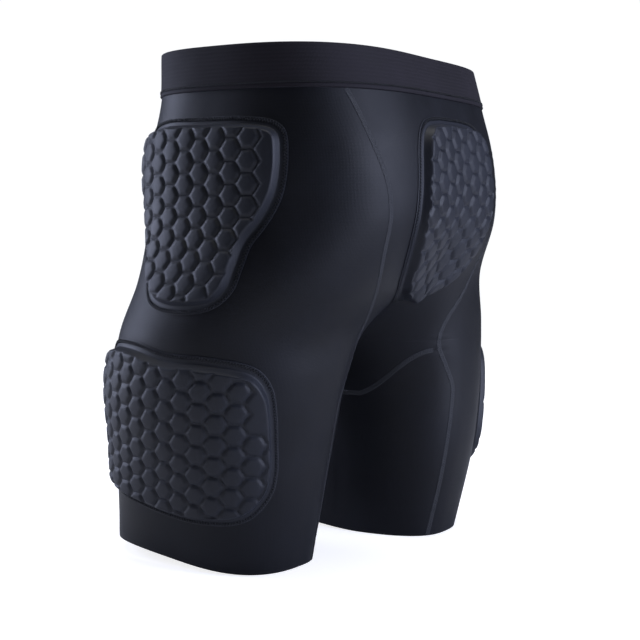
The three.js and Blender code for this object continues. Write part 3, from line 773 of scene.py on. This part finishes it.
def flatlock(name, points, normals, replaces, across_hint=None):
    """A flatlock seam: two needle rows with cover threads slanting between them."""
    points, normals, at = resample(points, normals, SEAM_STEP * MM)
    tangent, across, normals = frame_along(points, normals, False)
    if across_hint is not None:
        hint = np.asarray(across_hint, float)
        across = hint - tangent * (tangent @ hint)[:, None]
        across /= np.linalg.norm(across, axis=1, keepdims=True)
        turned = np.cross(across, tangent)
        normals = turned * np.sign((turned * normals).sum(1, keepdims=True))
        across = np.cross(tangent, normals)
    t = np.linspace(-1, 1, SEAM_COLUMNS)
    run = at[:, None] / MM
    rail = np.exp(-(((np.abs(t) - NEEDLE_ROW) / NEEDLE_ROW_WIDTH) ** 2))
    slant = np.clip(np.sin((run + t * SEAM_SLANT) * 2 * math.pi / SEAM_PITCH), 0, 1)
    stitch = 0.5 + 0.5 * np.cos(run * 2 * math.pi / SEAM_PITCH)
    cover = slant * np.clip(1 - (t / COVER_END) ** 4, 0, 1)
    edge = np.clip((1 - np.abs(t)) * SEAM_EDGE_SLOPE, 0, 1)
    rise = SEAM_EDGE + NEEDLE_RISE * rail * (0.5 + 0.5 * stitch) + COVER_RISE * cover
    top = KNIT + SEAM_BASE + edge * rise
    upper = (points[:, None] + across[:, None] * (t * SEAM_HALF * MM)[:, None]
             + normals[:, None] * (top * MM)[..., None])
    lower = points[:, None] + across[:, None] * (t[::-1] * SEAM_HALF * MM)[:, None]
    lower = lower + normals[:, None] * ((KNIT + SEAM_FLOOR) * MM)
    sections = np.concatenate([upper, lower], 1)
    if np.dot(np.cross(tangent[0], across[0]), normals[0]) > 0:
        sections = sections[:, ::-1]
    made = sweep(sections, False, SEAM_STEP * MM)
    new_piece(name, *made, finish_of(sewing_thread), "thread", replaces)


def trail(side, s, z):
    """Points and normals of the bare form along a line of spots."""
    side, s, z = np.broadcast_arrays(side, s, z)
    return form.place(side, s, z, 0.0), form.normal(side, s, z)


THREAD_SIDES = 6


def thread(name, points, normals, radius, replaces):
    """A thread lying on the surface, its middle one radius above the given points."""
    _, across, normals = frame_along(points, normals, True)
    angle = np.arange(THREAD_SIDES) * 2 * math.pi / THREAD_SIDES
    middle = points + normals * radius
    ring = across[:, None] * np.cos(angle)[:, None] + normals[:, None] * np.sin(angle)[:, None]
    sections = middle[:, None] + ring * radius
    pitch = float(np.linalg.norm(np.diff(points, axis=0), axis=1).mean())
    made = sweep(sections, True, pitch)
    new_piece(name, *made, finish_of(sewing_thread), "thread", replaces)


# ---- Pads ----

SWING = (-1.0, 0.0, 1.0, 0.0)  # a zigzag's four points, as shares of half its width
CURVE_PARTS = 16  # parts that a stretch between two given points of an outline is worked out in
# Each kind of pad's cells: width of a column, pitch, centre of the first, and slant.
TAILBONE_CELLS = (16.0, 18.7, (-8, 336.3), 0.0)
HIP_CELLS = (15.5, 19.0, (0, 352.6), 0.0)
THIGH_CELLS = (15.5, 18.8, (4, 133.1), 0.08)
HIP_PLAIN = (55, 296)  # there are no cells both behind and above this spot
THIGH_PLAIN = (46, 172)
THIGH_MARGIN = 81  # nor behind this line


class Pad:
    """A moulded pad: a sewn flange, a sloping wall and raised six-sided cells."""

    FLANGE = 7.5  # flat margin of the cover round the foam
    STITCH_LINE = 5.3  # the zigzag row's middle, out from the foam
    ZIGZAG = 1.35  # half its width
    ZIGZAG_STEP = 0.65  # a quarter of its pitch
    ZIGZAG_LIFT = 0.05  # of the thread off the flange
    ZIGZAG_RISE = 0.12  # and at the middle of each stitch
    ZIGZAG_ABOVE = 0.5  # a second line this far up gives the thread's normals
    FLANGE_TOP = PAD_SEAT + 0.8
    FLANGE_EDGE = 0.8  # width of the flange's thinner outer edge
    FLANGE_THIN = 0.35  # how much thinner it is
    PRESSED = 0.3  # how far the stitches press the flange down
    PRESSED_REACH = 1.2
    BEVEL_EASE = 0.22  # share of the bevel over which its top edge is rounded
    EDGE_GROOVE = 0.72  # share of their depth that the grooves have at the pad's edge
    EDGE_REACH = 5.0
    CROWN = 0.35  # how much higher a cell's middle is than its rim
    CROWN_REACH = 9.0
    OUTLINE_STEP = 1.15
    NEIGHBOUR = 1.3  # cells closer than this many pitches share a groove
    CELL_RANGE = 12  # columns and rows of cells tried, each way from the first
    CELL_MARGIN = 24.0  # and how far outside the outline they may lie
    CELL_RINGS = (0.9, 1.8, 2.3, 2.9)  # rings of points on a cell, in from its edge
    WALL_AT = (-0.9, -0.4, 0.2, 2.3, 3.0, 3.8, 4.7)  # distances inside the foam's edge
    WALL = (0, 0.04, 0.16, 0.76, 0.91, 0.98, 1.0)  # shares of the wall's height there
    BRIDGE_RISE = 10.0  # distance in from the flange's edge over which the bridge builds up
    NEIGHBOURS = 5  # cells looked at for the nearest groove
    FAR = 99.0  # further than anything on a pad
    KEEP_INSIDE = 1  # the triangulation keeps what lies inside the outline
    MERGE = 1e-4  # and joins points closer than this
    RING_GAP = 0.7  # between the last ring and the cells' own points
    RINGS = (-7.5, -6.9, -6.1, -5.3, -4.2, -2.6, -0.9, -0.4, 0.2, 0.9, 1.6, 2.3, 3.0, 3.8, 4.7)

    def __init__(self, outline, place, column, pitch, first, slant, is_cell):
        self.edge = closed_curve(outline, self.OUTLINE_STEP)
        self.place = place
        self.column, self.pitch, self.first, self.slant = column, pitch, first, slant
        corner = np.roll(self.edge, -1, 0) - np.roll(self.edge, 1, 0)
        corner /= np.linalg.norm(corner, axis=1, keepdims=True)
        self.outward = np.stack([corner[:, 1], -corner[:, 0]], -1)
        if self._area() < 0:
            self.outward = -self.outward
        self.centres = self._centres()
        self.cell = np.array([is_cell(a, z) for a, z in self.centres])

    def _area(self):
        x, y = self.edge.T
        return 0.5 * (x * np.roll(y, -1) - y * np.roll(x, -1)).sum()

    def _centres(self):
        low, high = self.edge.min(0) - self.CELL_MARGIN, self.edge.max(0) + self.CELL_MARGIN
        found = []
        reach = range(-self.CELL_RANGE, self.CELL_RANGE + 1)
        for c in reach:
            for r in reach:
                z = self.first[1] + (r + (c % 2) / 2) * self.pitch
                a = self.first[0] + c * self.column + (z - self.first[1]) * self.slant
                if low[0] < a < high[0] and low[1] < z < high[1]:
                    found.append((a, z))
        return np.array(found)

    def inset(self, distance):
        return self.edge - self.outward * distance

    def depth_inside(self, points):
        """Distance inside the foam's edge, negative outside it."""
        a, b = self.edge, np.roll(self.edge, -1, 0)
        leg = b - a
        share = ((points[:, None] - a) * leg).sum(2) / (leg**2).sum(1)
        near = a + np.clip(share, 0, 1)[..., None] * leg
        away = np.linalg.norm(points[:, None] - near, axis=2).min(1)
        x, y = points[:, 0][:, None], points[:, 1][:, None]
        crosses = ((a[:, 1] > y) != (b[:, 1] > y)) & (
            x < (b[:, 0] - a[:, 0]) * (y - a[:, 1]) / (b[:, 1] - a[:, 1] + 1e-12) + a[:, 0])
        return np.where(crosses.sum(1) % 2 == 1, away, -away)

    def groove(self, points):
        """Distance to the nearest groove, and to the middle of the nearest cell."""
        gap = np.linalg.norm(points[:, None] - self.centres, axis=2)
        order = np.argsort(gap, axis=1)[:, :self.NEIGHBOURS]
        nearest = order[:, 0]
        rows = np.arange(len(points))
        best = np.full(len(points), self.FAR)
        for k in range(1, self.NEIGHBOURS):
            other = order[:, k]
            apart = np.linalg.norm(self.centres[nearest] - self.centres[other], axis=1)
            line = (gap[rows, other] ** 2 - gap[rows, nearest] ** 2) / (2 * apart)
            shown = (self.cell[nearest] | self.cell[other]) & (apart < self.NEIGHBOUR * self.pitch)
            best = np.where(shown, np.minimum(best, line), best)
        return best, np.where(self.cell[nearest], gap[rows, nearest], self.FAR)

    def height(self, points, inside):
        """The cover's height above the form, in millimetres."""
        sizes = bpy.context.scene.shorts_sizes
        line, middle = self.groove(points)
        share, soft = line / sizes.bevel, self.BEVEL_EASE
        eased = np.where(share > 1 + soft, 1, np.where(
            share < 1 - soft, share, share - (share - 1 + soft) ** 2 / (4 * soft)))
        crown = self.CROWN * np.clip(1 - (middle / self.CROWN_REACH) ** 2, 0, 1)
        depth = sizes.groove * (
            self.EDGE_GROOVE + (1 - self.EDGE_GROOVE) * smooth(inside / self.EDGE_REACH))
        top = sizes.pad_top - self.CROWN + crown - depth * (1 - eased)
        rise = sizes.pad_top - self.FLANGE_TOP
        wall = self.FLANGE_TOP + np.interp(inside, self.WALL_AT, self.WALL) * rise
        pressed = self.PRESSED * np.exp(
            -(((inside + self.STITCH_LINE) / self.PRESSED_REACH) ** 2))
        outer_edge = self.FLANGE_EDGE - self.FLANGE - inside
        thin = self.FLANGE_THIN * smooth(outer_edge / self.FLANGE_EDGE)
        return np.minimum(wall - pressed - thin, np.maximum(top, self.FLANGE_TOP))

    def scatter(self):
        """Points over the pad: rings along its edge, and rings on each cell."""
        rings = [self.inset(d) for d in self.RINGS]
        half_top = ((self.column**2 + (self.pitch / 2) ** 2) / 2 - self.pitch**2 / 4) / self.column
        side = (self.column**2 + (self.pitch / 2) ** 2) / 2 / self.column
        corners = [(side, 0), (half_top, self.pitch / 2), (-half_top, self.pitch / 2),
                   (-side, 0), (-half_top, -self.pitch / 2), (half_top, -self.pitch / 2)]
        rim = np.concatenate([
            np.linspace(corners[i], corners[(i + 1) % 6], 6)[:-1] for i in range(6)])
        rim[:, 0] += rim[:, 1] * self.slant
        reach = self.pitch / 2
        scales = [1, *(1 - inset / reach for inset in self.CELL_RINGS), 0.5]
        near = self.centres[self.depth_inside(self.centres) > -self.CELL_MARGIN / 2]
        inner = np.concatenate([centre + rim * scale for centre in near for scale in scales])
        inner = np.concatenate([inner, near])
        inner = np.unique(np.round(inner, 1), axis=0)
        inner = inner[self.depth_inside(inner) > self.RINGS[-1] + self.RING_GAP]
        return rings, inner

    def bridged(self, inside):
        """Share of the bridge over the hollow below the seat: none at the flange's edge."""
        return smooth((inside + self.FLANGE) / self.BRIDGE_RISE)

    def mesh(self):
        """Flat points, faces, and the points of the upper and lower side."""
        rings, inner = self.scatter()
        count = len(self.edge)
        flat = np.concatenate([*rings, inner])
        loops = [list(range(count))]
        links = [(k * count + i, k * count + (i + 1) % count)
                 for k in range(1, len(rings)) for i in range(count)]
        points, _, faces, *_ = delaunay_2d_cdt(
            [Vector(p) for p in flat], links, loops, self.KEEP_INSIDE, self.MERGE)
        points = np.array([tuple(p) for p in points])
        used = sorted({i for f in faces for i in f})
        renumber = {old: new for new, old in enumerate(used)}
        points = points[used]
        faces = [[renumber[i] for i in f] for f in faces]
        inside = self.depth_inside(points)
        upper = self.place(points, self.height(points, inside), self.bridged(inside))
        lower = self.place(points, np.full(len(points), PAD_SEAT), np.zeros(len(points)))
        return points, faces, upper, lower

    def build(self, name, replaces):
        flat, faces, upper, lower = self.mesh()
        a, b, c = faces[0]
        turn = np.cross(upper[b] - upper[a], upper[c] - upper[a]) @ (upper[a] - lower[a])
        if turn < 0:
            faces = [f[::-1] for f in faces]
        count = len(flat)
        edges = {(f[i - 1], f[i]) for f in faces for i in range(3)}
        closed = list(faces) + [[i + count for i in reversed(f)] for f in faces]
        for p, q in edges:
            if (q, p) not in edges:
                closed.append([p, p + count, q + count, q])
        uvs = [flat[i % count] * MM for f in closed for i in f]
        points = np.concatenate([upper, lower])
        piece = new_piece(name, points, closed, uvs, finish_of(pad_cover), "pad_cover", replaces)
        return piece

    def stitching(self, name, replaces):
        """A close zigzag row on the flange."""
        edge = closed_curve(self.inset(-self.STITCH_LINE), 1.0)
        length = np.linalg.norm(edge - np.roll(edge, 1, 0), axis=1).sum()
        count = int(length / self.ZIGZAG_STEP) // 4 * 4
        line = closed_curve(edge, length / count)[:count]
        side = np.roll(line, -1, 0) - np.roll(line, 1, 0)
        side = np.stack([side[:, 1], -side[:, 0]], -1)
        side /= np.linalg.norm(side, axis=1, keepdims=True)
        swing = np.tile(SWING, len(line) // 4)
        points = line + side * (swing * self.ZIGZAG)[:, None]
        inside = self.depth_inside(points)
        rise = self.ZIGZAG_RISE * (1 - np.abs(swing)) + self.ZIGZAG_LIFT
        level = self.height(points, inside) + rise
        lifted = self.place(points, level, self.bridged(inside))
        above = self.place(points, level + self.ZIGZAG_ABOVE, self.bridged(inside))
        normals = above - lifted
        normals /= np.linalg.norm(normals, axis=1, keepdims=True)
        thread(name, lifted, normals, PAD_STITCH_RADIUS * MM, replaces)


def closed_curve(points, step):
    """Evenly spaced points on a smooth closed curve through the given ones."""
    points = np.asarray(points, float)
    p0, p1, p2, p3 = (np.roll(points, k, 0) for k in (1, 0, -1, -2))
    dense = []
    for t in np.arange(CURVE_PARTS) / CURVE_PARTS:
        dense.append(0.5 * (2 * p1 + (p2 - p0) * t + (2 * p0 - 5 * p1 + 4 * p2 - p3) * t * t
                            + (3 * p1 - p0 - 3 * p2 + p3) * t**3))
    dense = np.stack(dense, 1).reshape(-1, 2)
    dense = np.concatenate([dense, dense[:1]])
    length = np.concatenate([[0], np.cumsum(np.linalg.norm(np.diff(dense, axis=0), axis=1))])
    count = int(round(length[-1] / step))
    at = np.linspace(0, length[-1], count + 1)[:-1]
    return np.stack([np.interp(at, length, dense[:, i]) for i in range(2)], -1)


def side_place(side):
    """Places a pad's points on a leg: a is the distance round from the side line."""
    def place(points, lift, bridged):
        return form.place(side, points[:, 0], points[:, 1], lift, PAD_NORMAL_STEP)
    return place


def back_place(points, lift, bridged):
    """Places a pad's points over the centre back, and bridges the hollow below the seat."""
    a, z = points.T
    side = np.where(a < 0, -1, 1)
    s = form.reach(side, 1, z) - np.abs(a)
    raised = BRIDGE * np.exp(-((a / BRIDGE_REACH) ** 2)) * smooth((BRIDGE_TOP - z) / BRIDGE_FADE)
    return form.place(side, s, z, lift + raised * bridged, PAD_NORMAL_STEP)


def hip_cells(a, z):
    """The upper back corner is plain."""
    return a < HIP_PLAIN[0] or z < HIP_PLAIN[1]


def thigh_cells(a, z):
    """The back margin and the upper back corner are plain."""
    return a < THIGH_MARGIN and not (a > THIGH_PLAIN[0] and z > THIGH_PLAIN[1])


def pads():
    """Every pad by name."""
    tail = TAILBONE_HALF + [(-a, z) for a, z in TAILBONE_HALF[-2:0:-1]]
    found = {"tailbone_pad": Pad(tail, back_place, *TAILBONE_CELLS, lambda a, z: True)}
    for name, side in SIDES.items():
        place = side_place(side)
        found[f"{name}_hip_pad"] = Pad(HIP_OUTLINE, place, *HIP_CELLS, hip_cells)
        found[f"{name}_thigh_pad"] = Pad(THIGH_OUTLINE, place, *THIGH_CELLS, thigh_cells)
    return found


PADS = pads()


# ---- Stage ----

CAMERA_BACK = Vector((0.8439, 0.5366, 0.0))  # from the garment towards the camera
CAMERA_RIGHT = Vector((-0.5366, 0.8439, 0.0))
CAMERA_AWAY = 1.1677
CAMERA_HEIGHT = 0.3172
CAMERA_PITCH = math.radians(1.235)
CAMERA_LENS = 66.98
CAMERA_SHIFT = (0.01109, -0.12375)
FLOOR_RADIUS = 1.5
FLOOR_SIDES = 96
FLOOR_RIM = 0.03  # width of the floor's outer ring of faces
FLOOR_DROP = 0.0004  # the floor lies just under the hems
FLOOR_GLOW = 0.7  # lifts the floor to white for the camera, and lights nothing
WHITE = 1.05  # strength of the surround as the camera sees it
LIGHTS_AIM = Vector((0, 0, 0.25))
OVERHEAD_SPREAD = math.radians(50)
SKYLIGHT = "#d6defc"
# Each soft light: towards the camera, to its right, height, and the light's width and length.
LIGHTS = {"key": (0.8, 1.9, 0.7, (1.4, 1.8)), "edge": (-0.45, -1.8, 0.6, (0.9, 1.8))}


def place_facing(thing, place, look):
    """Links a camera or light and turns it to look along a direction."""
    bpy.context.scene.collection.objects.link(thing)
    turn = look.to_track_quat("-Z", "Y").to_matrix().to_4x4()
    thing.matrix_world = Matrix.Translation(place) @ turn


def make_camera():
    data = bpy.data.cameras.new("camera")
    data.lens, data.sensor_width = CAMERA_LENS, 36.0
    data.shift_x, data.shift_y = CAMERA_SHIFT
    camera = bpy.data.objects.new("camera", data)
    look = -CAMERA_BACK * math.cos(CAMERA_PITCH) - Vector((0, 0, math.sin(CAMERA_PITCH)))
    place = CAMERA_BACK * CAMERA_AWAY + Vector((0, FORE_AFT * MM, CAMERA_HEIGHT))
    place_facing(camera, place, look)
    bpy.context.scene.camera = camera


def make_light(name, power):
    towards, right, height, size = LIGHTS[name]
    data = bpy.data.lights.new(name, "AREA")
    data.shape = "RECTANGLE"
    data.size, data.size_y = size
    data.energy = power
    data.color = linear(SKYLIGHT)[:3]
    light = bpy.data.objects.new(name, data)
    place = CAMERA_BACK * towards + CAMERA_RIGHT * right + Vector((0, 0, height))
    place_facing(light, place, LIGHTS_AIM - place)


def make_overhead(strength):
    """Soft light from straight above, which mostly lights the floor."""
    data = bpy.data.lights.new("overhead", "SUN")
    data.energy = strength
    data.angle = OVERHEAD_SPREAD
    light = bpy.data.objects.new("overhead", data)
    bpy.context.scene.collection.objects.link(light)


def make_floor():
    """A matt pale disc."""
    deselect()
    bpy.ops.mesh.primitive_circle_add(
        vertices=FLOOR_SIDES, radius=FLOOR_RADIUS, fill_type="NGON", location=(0, 0, -FLOOR_DROP))
    floor = bpy.context.active_object
    floor.name = "floor"
    material = bpy.data.materials.new("matt_pale_floor")
    material.use_nodes = True
    tree = material.node_tree
    tree.nodes.clear()
    seen = add(tree, "ShaderNodeLightPath")
    glow = add(tree, "ShaderNodeMath", {"operation": "MULTIPLY"},
               in_0=seen.outputs["Is Camera Ray"], in_1=FLOOR_GLOW)
    shader = add(tree, "ShaderNodeBsdfPrincipled", Base_Color=linear("#dcdcde"), Roughness=0.95,
                 Specular_IOR_Level=0.1, Emission_Color=linear("#ffffff"),
                 Emission_Strength=glow.outputs[0])
    add(tree, "ShaderNodeOutputMaterial", Surface=shader.outputs[0])
    floor.data.materials.append(material)
    bpy.ops.object.mode_set(mode="EDIT")
    bpy.ops.mesh.select_all(action="SELECT")
    bpy.ops.mesh.inset(thickness=FLOOR_RIM)
    bpy.ops.object.mode_set(mode="OBJECT")
    bpy.ops.object.transform_apply(location=True, rotation=True, scale=True)


def make_surround(air):
    """White as the camera sees it, and nearly dark to the cloth."""
    world = bpy.data.worlds.new("studio")
    world.use_nodes = True
    tree = world.node_tree
    tree.nodes.clear()
    seen = add(tree, "ShaderNodeLightPath")
    strength = add(tree, "ShaderNodeMapRange", Value=seen.outputs["Is Camera Ray"],
                   To_Min=air, To_Max=WHITE)
    shade = add(tree, "ShaderNodeBackground", Color=linear("#fafbfd"), Strength=strength.outputs[0])
    add(tree, "ShaderNodeOutputWorld", Surface=shade.outputs[0])
    bpy.context.scene.world = world


# ---- The add-on ----


def colour_setting(name, hex_colour):
    """A colour that the user can change."""
    return FloatVectorProperty(
        name=name, description="Shade of the cloth", subtype="COLOR", size=3, min=0.0, max=1.0,
        default=linear(hex_colour)[:3])


class ShortsStage(bpy.types.PropertyGroup):
    """The lights"""

    key_power: FloatProperty(name="Key light", description="At the view's right", default=64.0)
    edge_power: FloatProperty(name="Edge light", description="At the view's left", default=40.0)
    top_power: FloatProperty(name="Overhead light", description="Light from above", default=1.5)
    air: FloatProperty(name="Surround", description="Even light of the room", default=0.05)


class ShortsSizes(bpy.types.PropertyGroup):
    """The sizes, in millimetres"""

    pad_top: FloatProperty(name="Pad top", description="Above the body form", default=10.5)
    groove: FloatProperty(name="Groove depth", description="Between the pads' cells", default=1.7)
    bevel: FloatProperty(name="Cell bevel", description="Width of a cell's sloping edge", default=2.9)
    swell: FloatProperty(name="Swell", description="Long shallow swells of the knit", default=0.3)
    pucker: FloatProperty(name="Pucker", description="Gathers beside the seams", default=0.16)


class ShortsColours(bpy.types.PropertyGroup):
    """The cloths' colours, each a dark and a light shade that the weave mixes"""

    knit_dark: colour_setting("Knit, dark", "#0b0c10")
    knit_light: colour_setting("Knit, light", "#15171e")
    pad_dark: colour_setting("Pads, dark", "#14161c")
    pad_light: colour_setting("Pads, light", "#22252e")
    band_dark: colour_setting("Waistband, dark", "#131116")
    band_light: colour_setting("Waistband, light", "#232027")
    thread_dark: colour_setting("Thread, dark", "#0e1015")
    thread_light: colour_setting("Thread, light", "#1d2028")


SETTINGS = {
    "shorts_stage": ShortsStage, "shorts_sizes": ShortsSizes, "shorts_colours": ShortsColours,
}


class SHORTS_OT_panels(bpy.types.Operator):
    """Makes the six knit panels"""

    bl_idname = "shorts.panels"
    bl_label = "Knit panels"

    def execute(self, context):
        make_centre_panel("back_panel", 1)
        make_centre_panel("front_panel", -1)
        for name, side in SIDES.items():
            make_side_panel(f"{name}_side_panel", side)
            make_inner_thigh_panel(f"{name}_inner_thigh_panel", side)
        return {"FINISHED"}


class SHORTS_OT_waistband(bpy.types.Operator):
    """Makes the elastic waistband, its facing and its stitching"""

    bl_idname = "shorts.waistband"
    bl_label = "Waistband"

    def execute(self, context):
        z, lift = band_profile(WAIST_SEAM, OUTSEAM, 0, BAND_THICK, BAND_ROLL)
        near_seam = np.exp(-(((z - WAIST_SEAM) / BAND_LIP_REACH) ** 2)) * (lift > GAP)
        sections = waist_loop(z, lift + BAND_LIP * near_seam, BAND_COLUMNS)
        band_piece("waistband_webbing", sections, WAISTBAND_HEIGHT * MM, finish_of(band_webbing),
                   "waistband_elastic", ["waistband"])
        low, high = WAIST_SEAM + FACING_INSET, OUTSEAM - FACING_INSET
        profile = band_profile(low, high, -FACING_BACK, -GAP, TAPE_ROLL, TAPE_ROWS)
        sections = waist_loop(*profile, FACING_COLUMNS)
        band_piece("waistband_jersey", sections, (high - low) * MM, finish_of(band_facing),
                   "waistband_facing", ["waistband_facing"])
        u = np.arange(BAND_STITCHES) / BAND_STITCHES
        swing = np.tile(SWING, BAND_STITCHES // 4)
        height = WAIST_SEAM + BAND_STITCH_LINE + BAND_ZIGZAG * swing
        points, normals = [], []
        for side in (1, -1):
            share = u if side > 0 else 1 - u
            s = form.reach(side, -1, height) * (1 - share) + form.reach(side, 1, height) * share
            points.append(form.place(side, s, height, BAND_THICK + BAND_STITCH_LIFT))
            normals.append(form.normal(side, s, height))
        thread("waistband_zigzag", np.concatenate(points), np.concatenate(normals),
               BAND_STITCH_RADIUS * MM, ["waistband_stitching"])
        return {"FINISHED"}


class SHORTS_OT_hem_tapes(bpy.types.Operator):
    """Makes the bonded tape inside each hem"""

    bl_idname = "shorts.hem_tapes"
    bl_label = "Hem tapes"

    def execute(self, context):
        for name, side in SIDES.items():
            z, lift = band_profile(
                HEM_LOW, HEM_LOW + HEM_TAPE, -HEM_BACK, -2 * GAP, TAPE_ROLL, TAPE_ROWS)
            share = np.arange(HEM_COLUMNS) / HEM_COLUMNS
            front, back = form.reach(side, -1, z), form.reach(side, 1, z)
            s = front + (back - front) * share[:, None]
            z, lift = np.broadcast_to(z, s.shape), np.broadcast_to(lift, s.shape)
            sections = form.place(side, s, z, lift)
            sections = sections if side > 0 else sections[::-1]
            band_piece(f"{name}_hem_film", sections, HEM_TAPE * MM, finish_of(hem_film),
                       "hem_tape", [f"{name}_hem_tape"])
        return {"FINISHED"}


class SHORTS_OT_seams(bpy.types.Operator):
    """Makes the flatlock seams between the panels"""

    bl_idname = "shorts.seams"
    bl_label = "Flatlock seams"

    def execute(self, context):
        z = np.concatenate([leg_rows, gusset_rows[1:], upper_rows])
        z[0] = SEAM_START
        for name, side in SIDES.items():
            for seam, toward in (("back", 1), ("front", -1)):
                path = trail(side, seam_line(toward, z), z)
                flatlock(f"{name}_{seam}_flatlock", *path, [f"{name}_{seam}_seam"])
            half = gusset_rows[:-1]
            climb = np.concatenate([half[::-1], half[1:]])
            toward = np.concatenate([np.ones(len(half)), -np.ones(len(half) - 1)])
            s = [inner_spot(side, t, gusset_share(h), h) for t, h in zip(toward, climb)]
            level = [inner_spot(side, way, GUSSET_FLAT * k, GUSSET_LOW) for way, k in LEVEL_RUN]
            s = [*s[: len(half)], *level, *s[len(half):]]
            height = [*climb[: len(half)], *[GUSSET_LOW] * len(level), *climb[len(half):]]
            flatlock(f"{name}_gusset_flatlock", *trail(side, s, height), [f"{name}_gusset_seam"])
        share = np.linspace(1, CROTCH_SEAM_NEAR, CROTCH_SEAM_STEPS) ** CROTCH_EASE
        rise = form.crotch - (form.crotch - GUSSET_LOW - CROTCH_SEAM_END) * share
        sides = np.repeat([1, -1], CROTCH_SEAM_STEPS)
        heights = np.concatenate([rise, rise[::-1]])
        points, normals = trail(sides, form.reach(sides, 1, heights), heights)
        flatlock("crotch_flatlock", points, normals, ["crotch_seam"], (0, 1, 0))
        return {"FINISHED"}


class SHORTS_OT_pads(bpy.types.Operator):
    """Makes the five moulded pads and their stitching"""

    bl_idname = "shorts.pads"
    bl_label = "Moulded pads"

    def execute(self, context):
        for name, pad in PADS.items():
            pad.build(f"{name}_moulding", [f"{name}_foam", f"{name}_cover"])
            pad.stitching(f"{name}_zigzag", [f"{name}_stitching"])
        return {"FINISHED"}


class SHORTS_OT_stage(bpy.types.Operator):
    """Sets up the camera, floor and lights"""

    bl_idname = "shorts.stage"
    bl_label = "Stage"

    def execute(self, context):
        settings = context.scene.shorts_stage
        context.scene.view_settings.view_transform = "Standard"
        make_camera()
        make_floor()
        make_light("key", settings.key_power)
        make_light("edge", settings.edge_power)
        make_overhead(settings.top_power)
        make_surround(settings.air)
        return {"FINISHED"}


OPERATORS = (
    SHORTS_OT_stage, SHORTS_OT_panels, SHORTS_OT_waistband, SHORTS_OT_hem_tapes, SHORTS_OT_seams,
    SHORTS_OT_pads,
)


class SHORTS_PT_panel(bpy.types.Panel):
    """The shorts' settings and operators"""

    bl_label = "Padded shorts"
    bl_space_type = "VIEW_3D"
    bl_region_type = "UI"
    bl_category = "Shorts"

    def draw(self, context):
        for group, kind in SETTINGS.items():
            for name in kind.__annotations__:
                self.layout.prop(getattr(context.scene, group), name)
        for operator in OPERATORS:
            self.layout.operator(operator.bl_idname)


CLASSES = (*SETTINGS.values(), *OPERATORS, SHORTS_PT_panel)


def register():
    for cls in CLASSES:
        bpy.utils.register_class(cls)
    for group, kind in SETTINGS.items():
        setattr(bpy.types.Scene, group, PointerProperty(type=kind))


def unregister():
    for group in SETTINGS:
        delattr(bpy.types.Scene, group)
    for cls in reversed(CLASSES):
        bpy.utils.unregister_class(cls)


def main():
    register()
    for operator in OPERATORS:
        getattr(bpy.ops.shorts, operator.bl_idname.split(".")[1])()


if __name__ == "__main__":
    main()
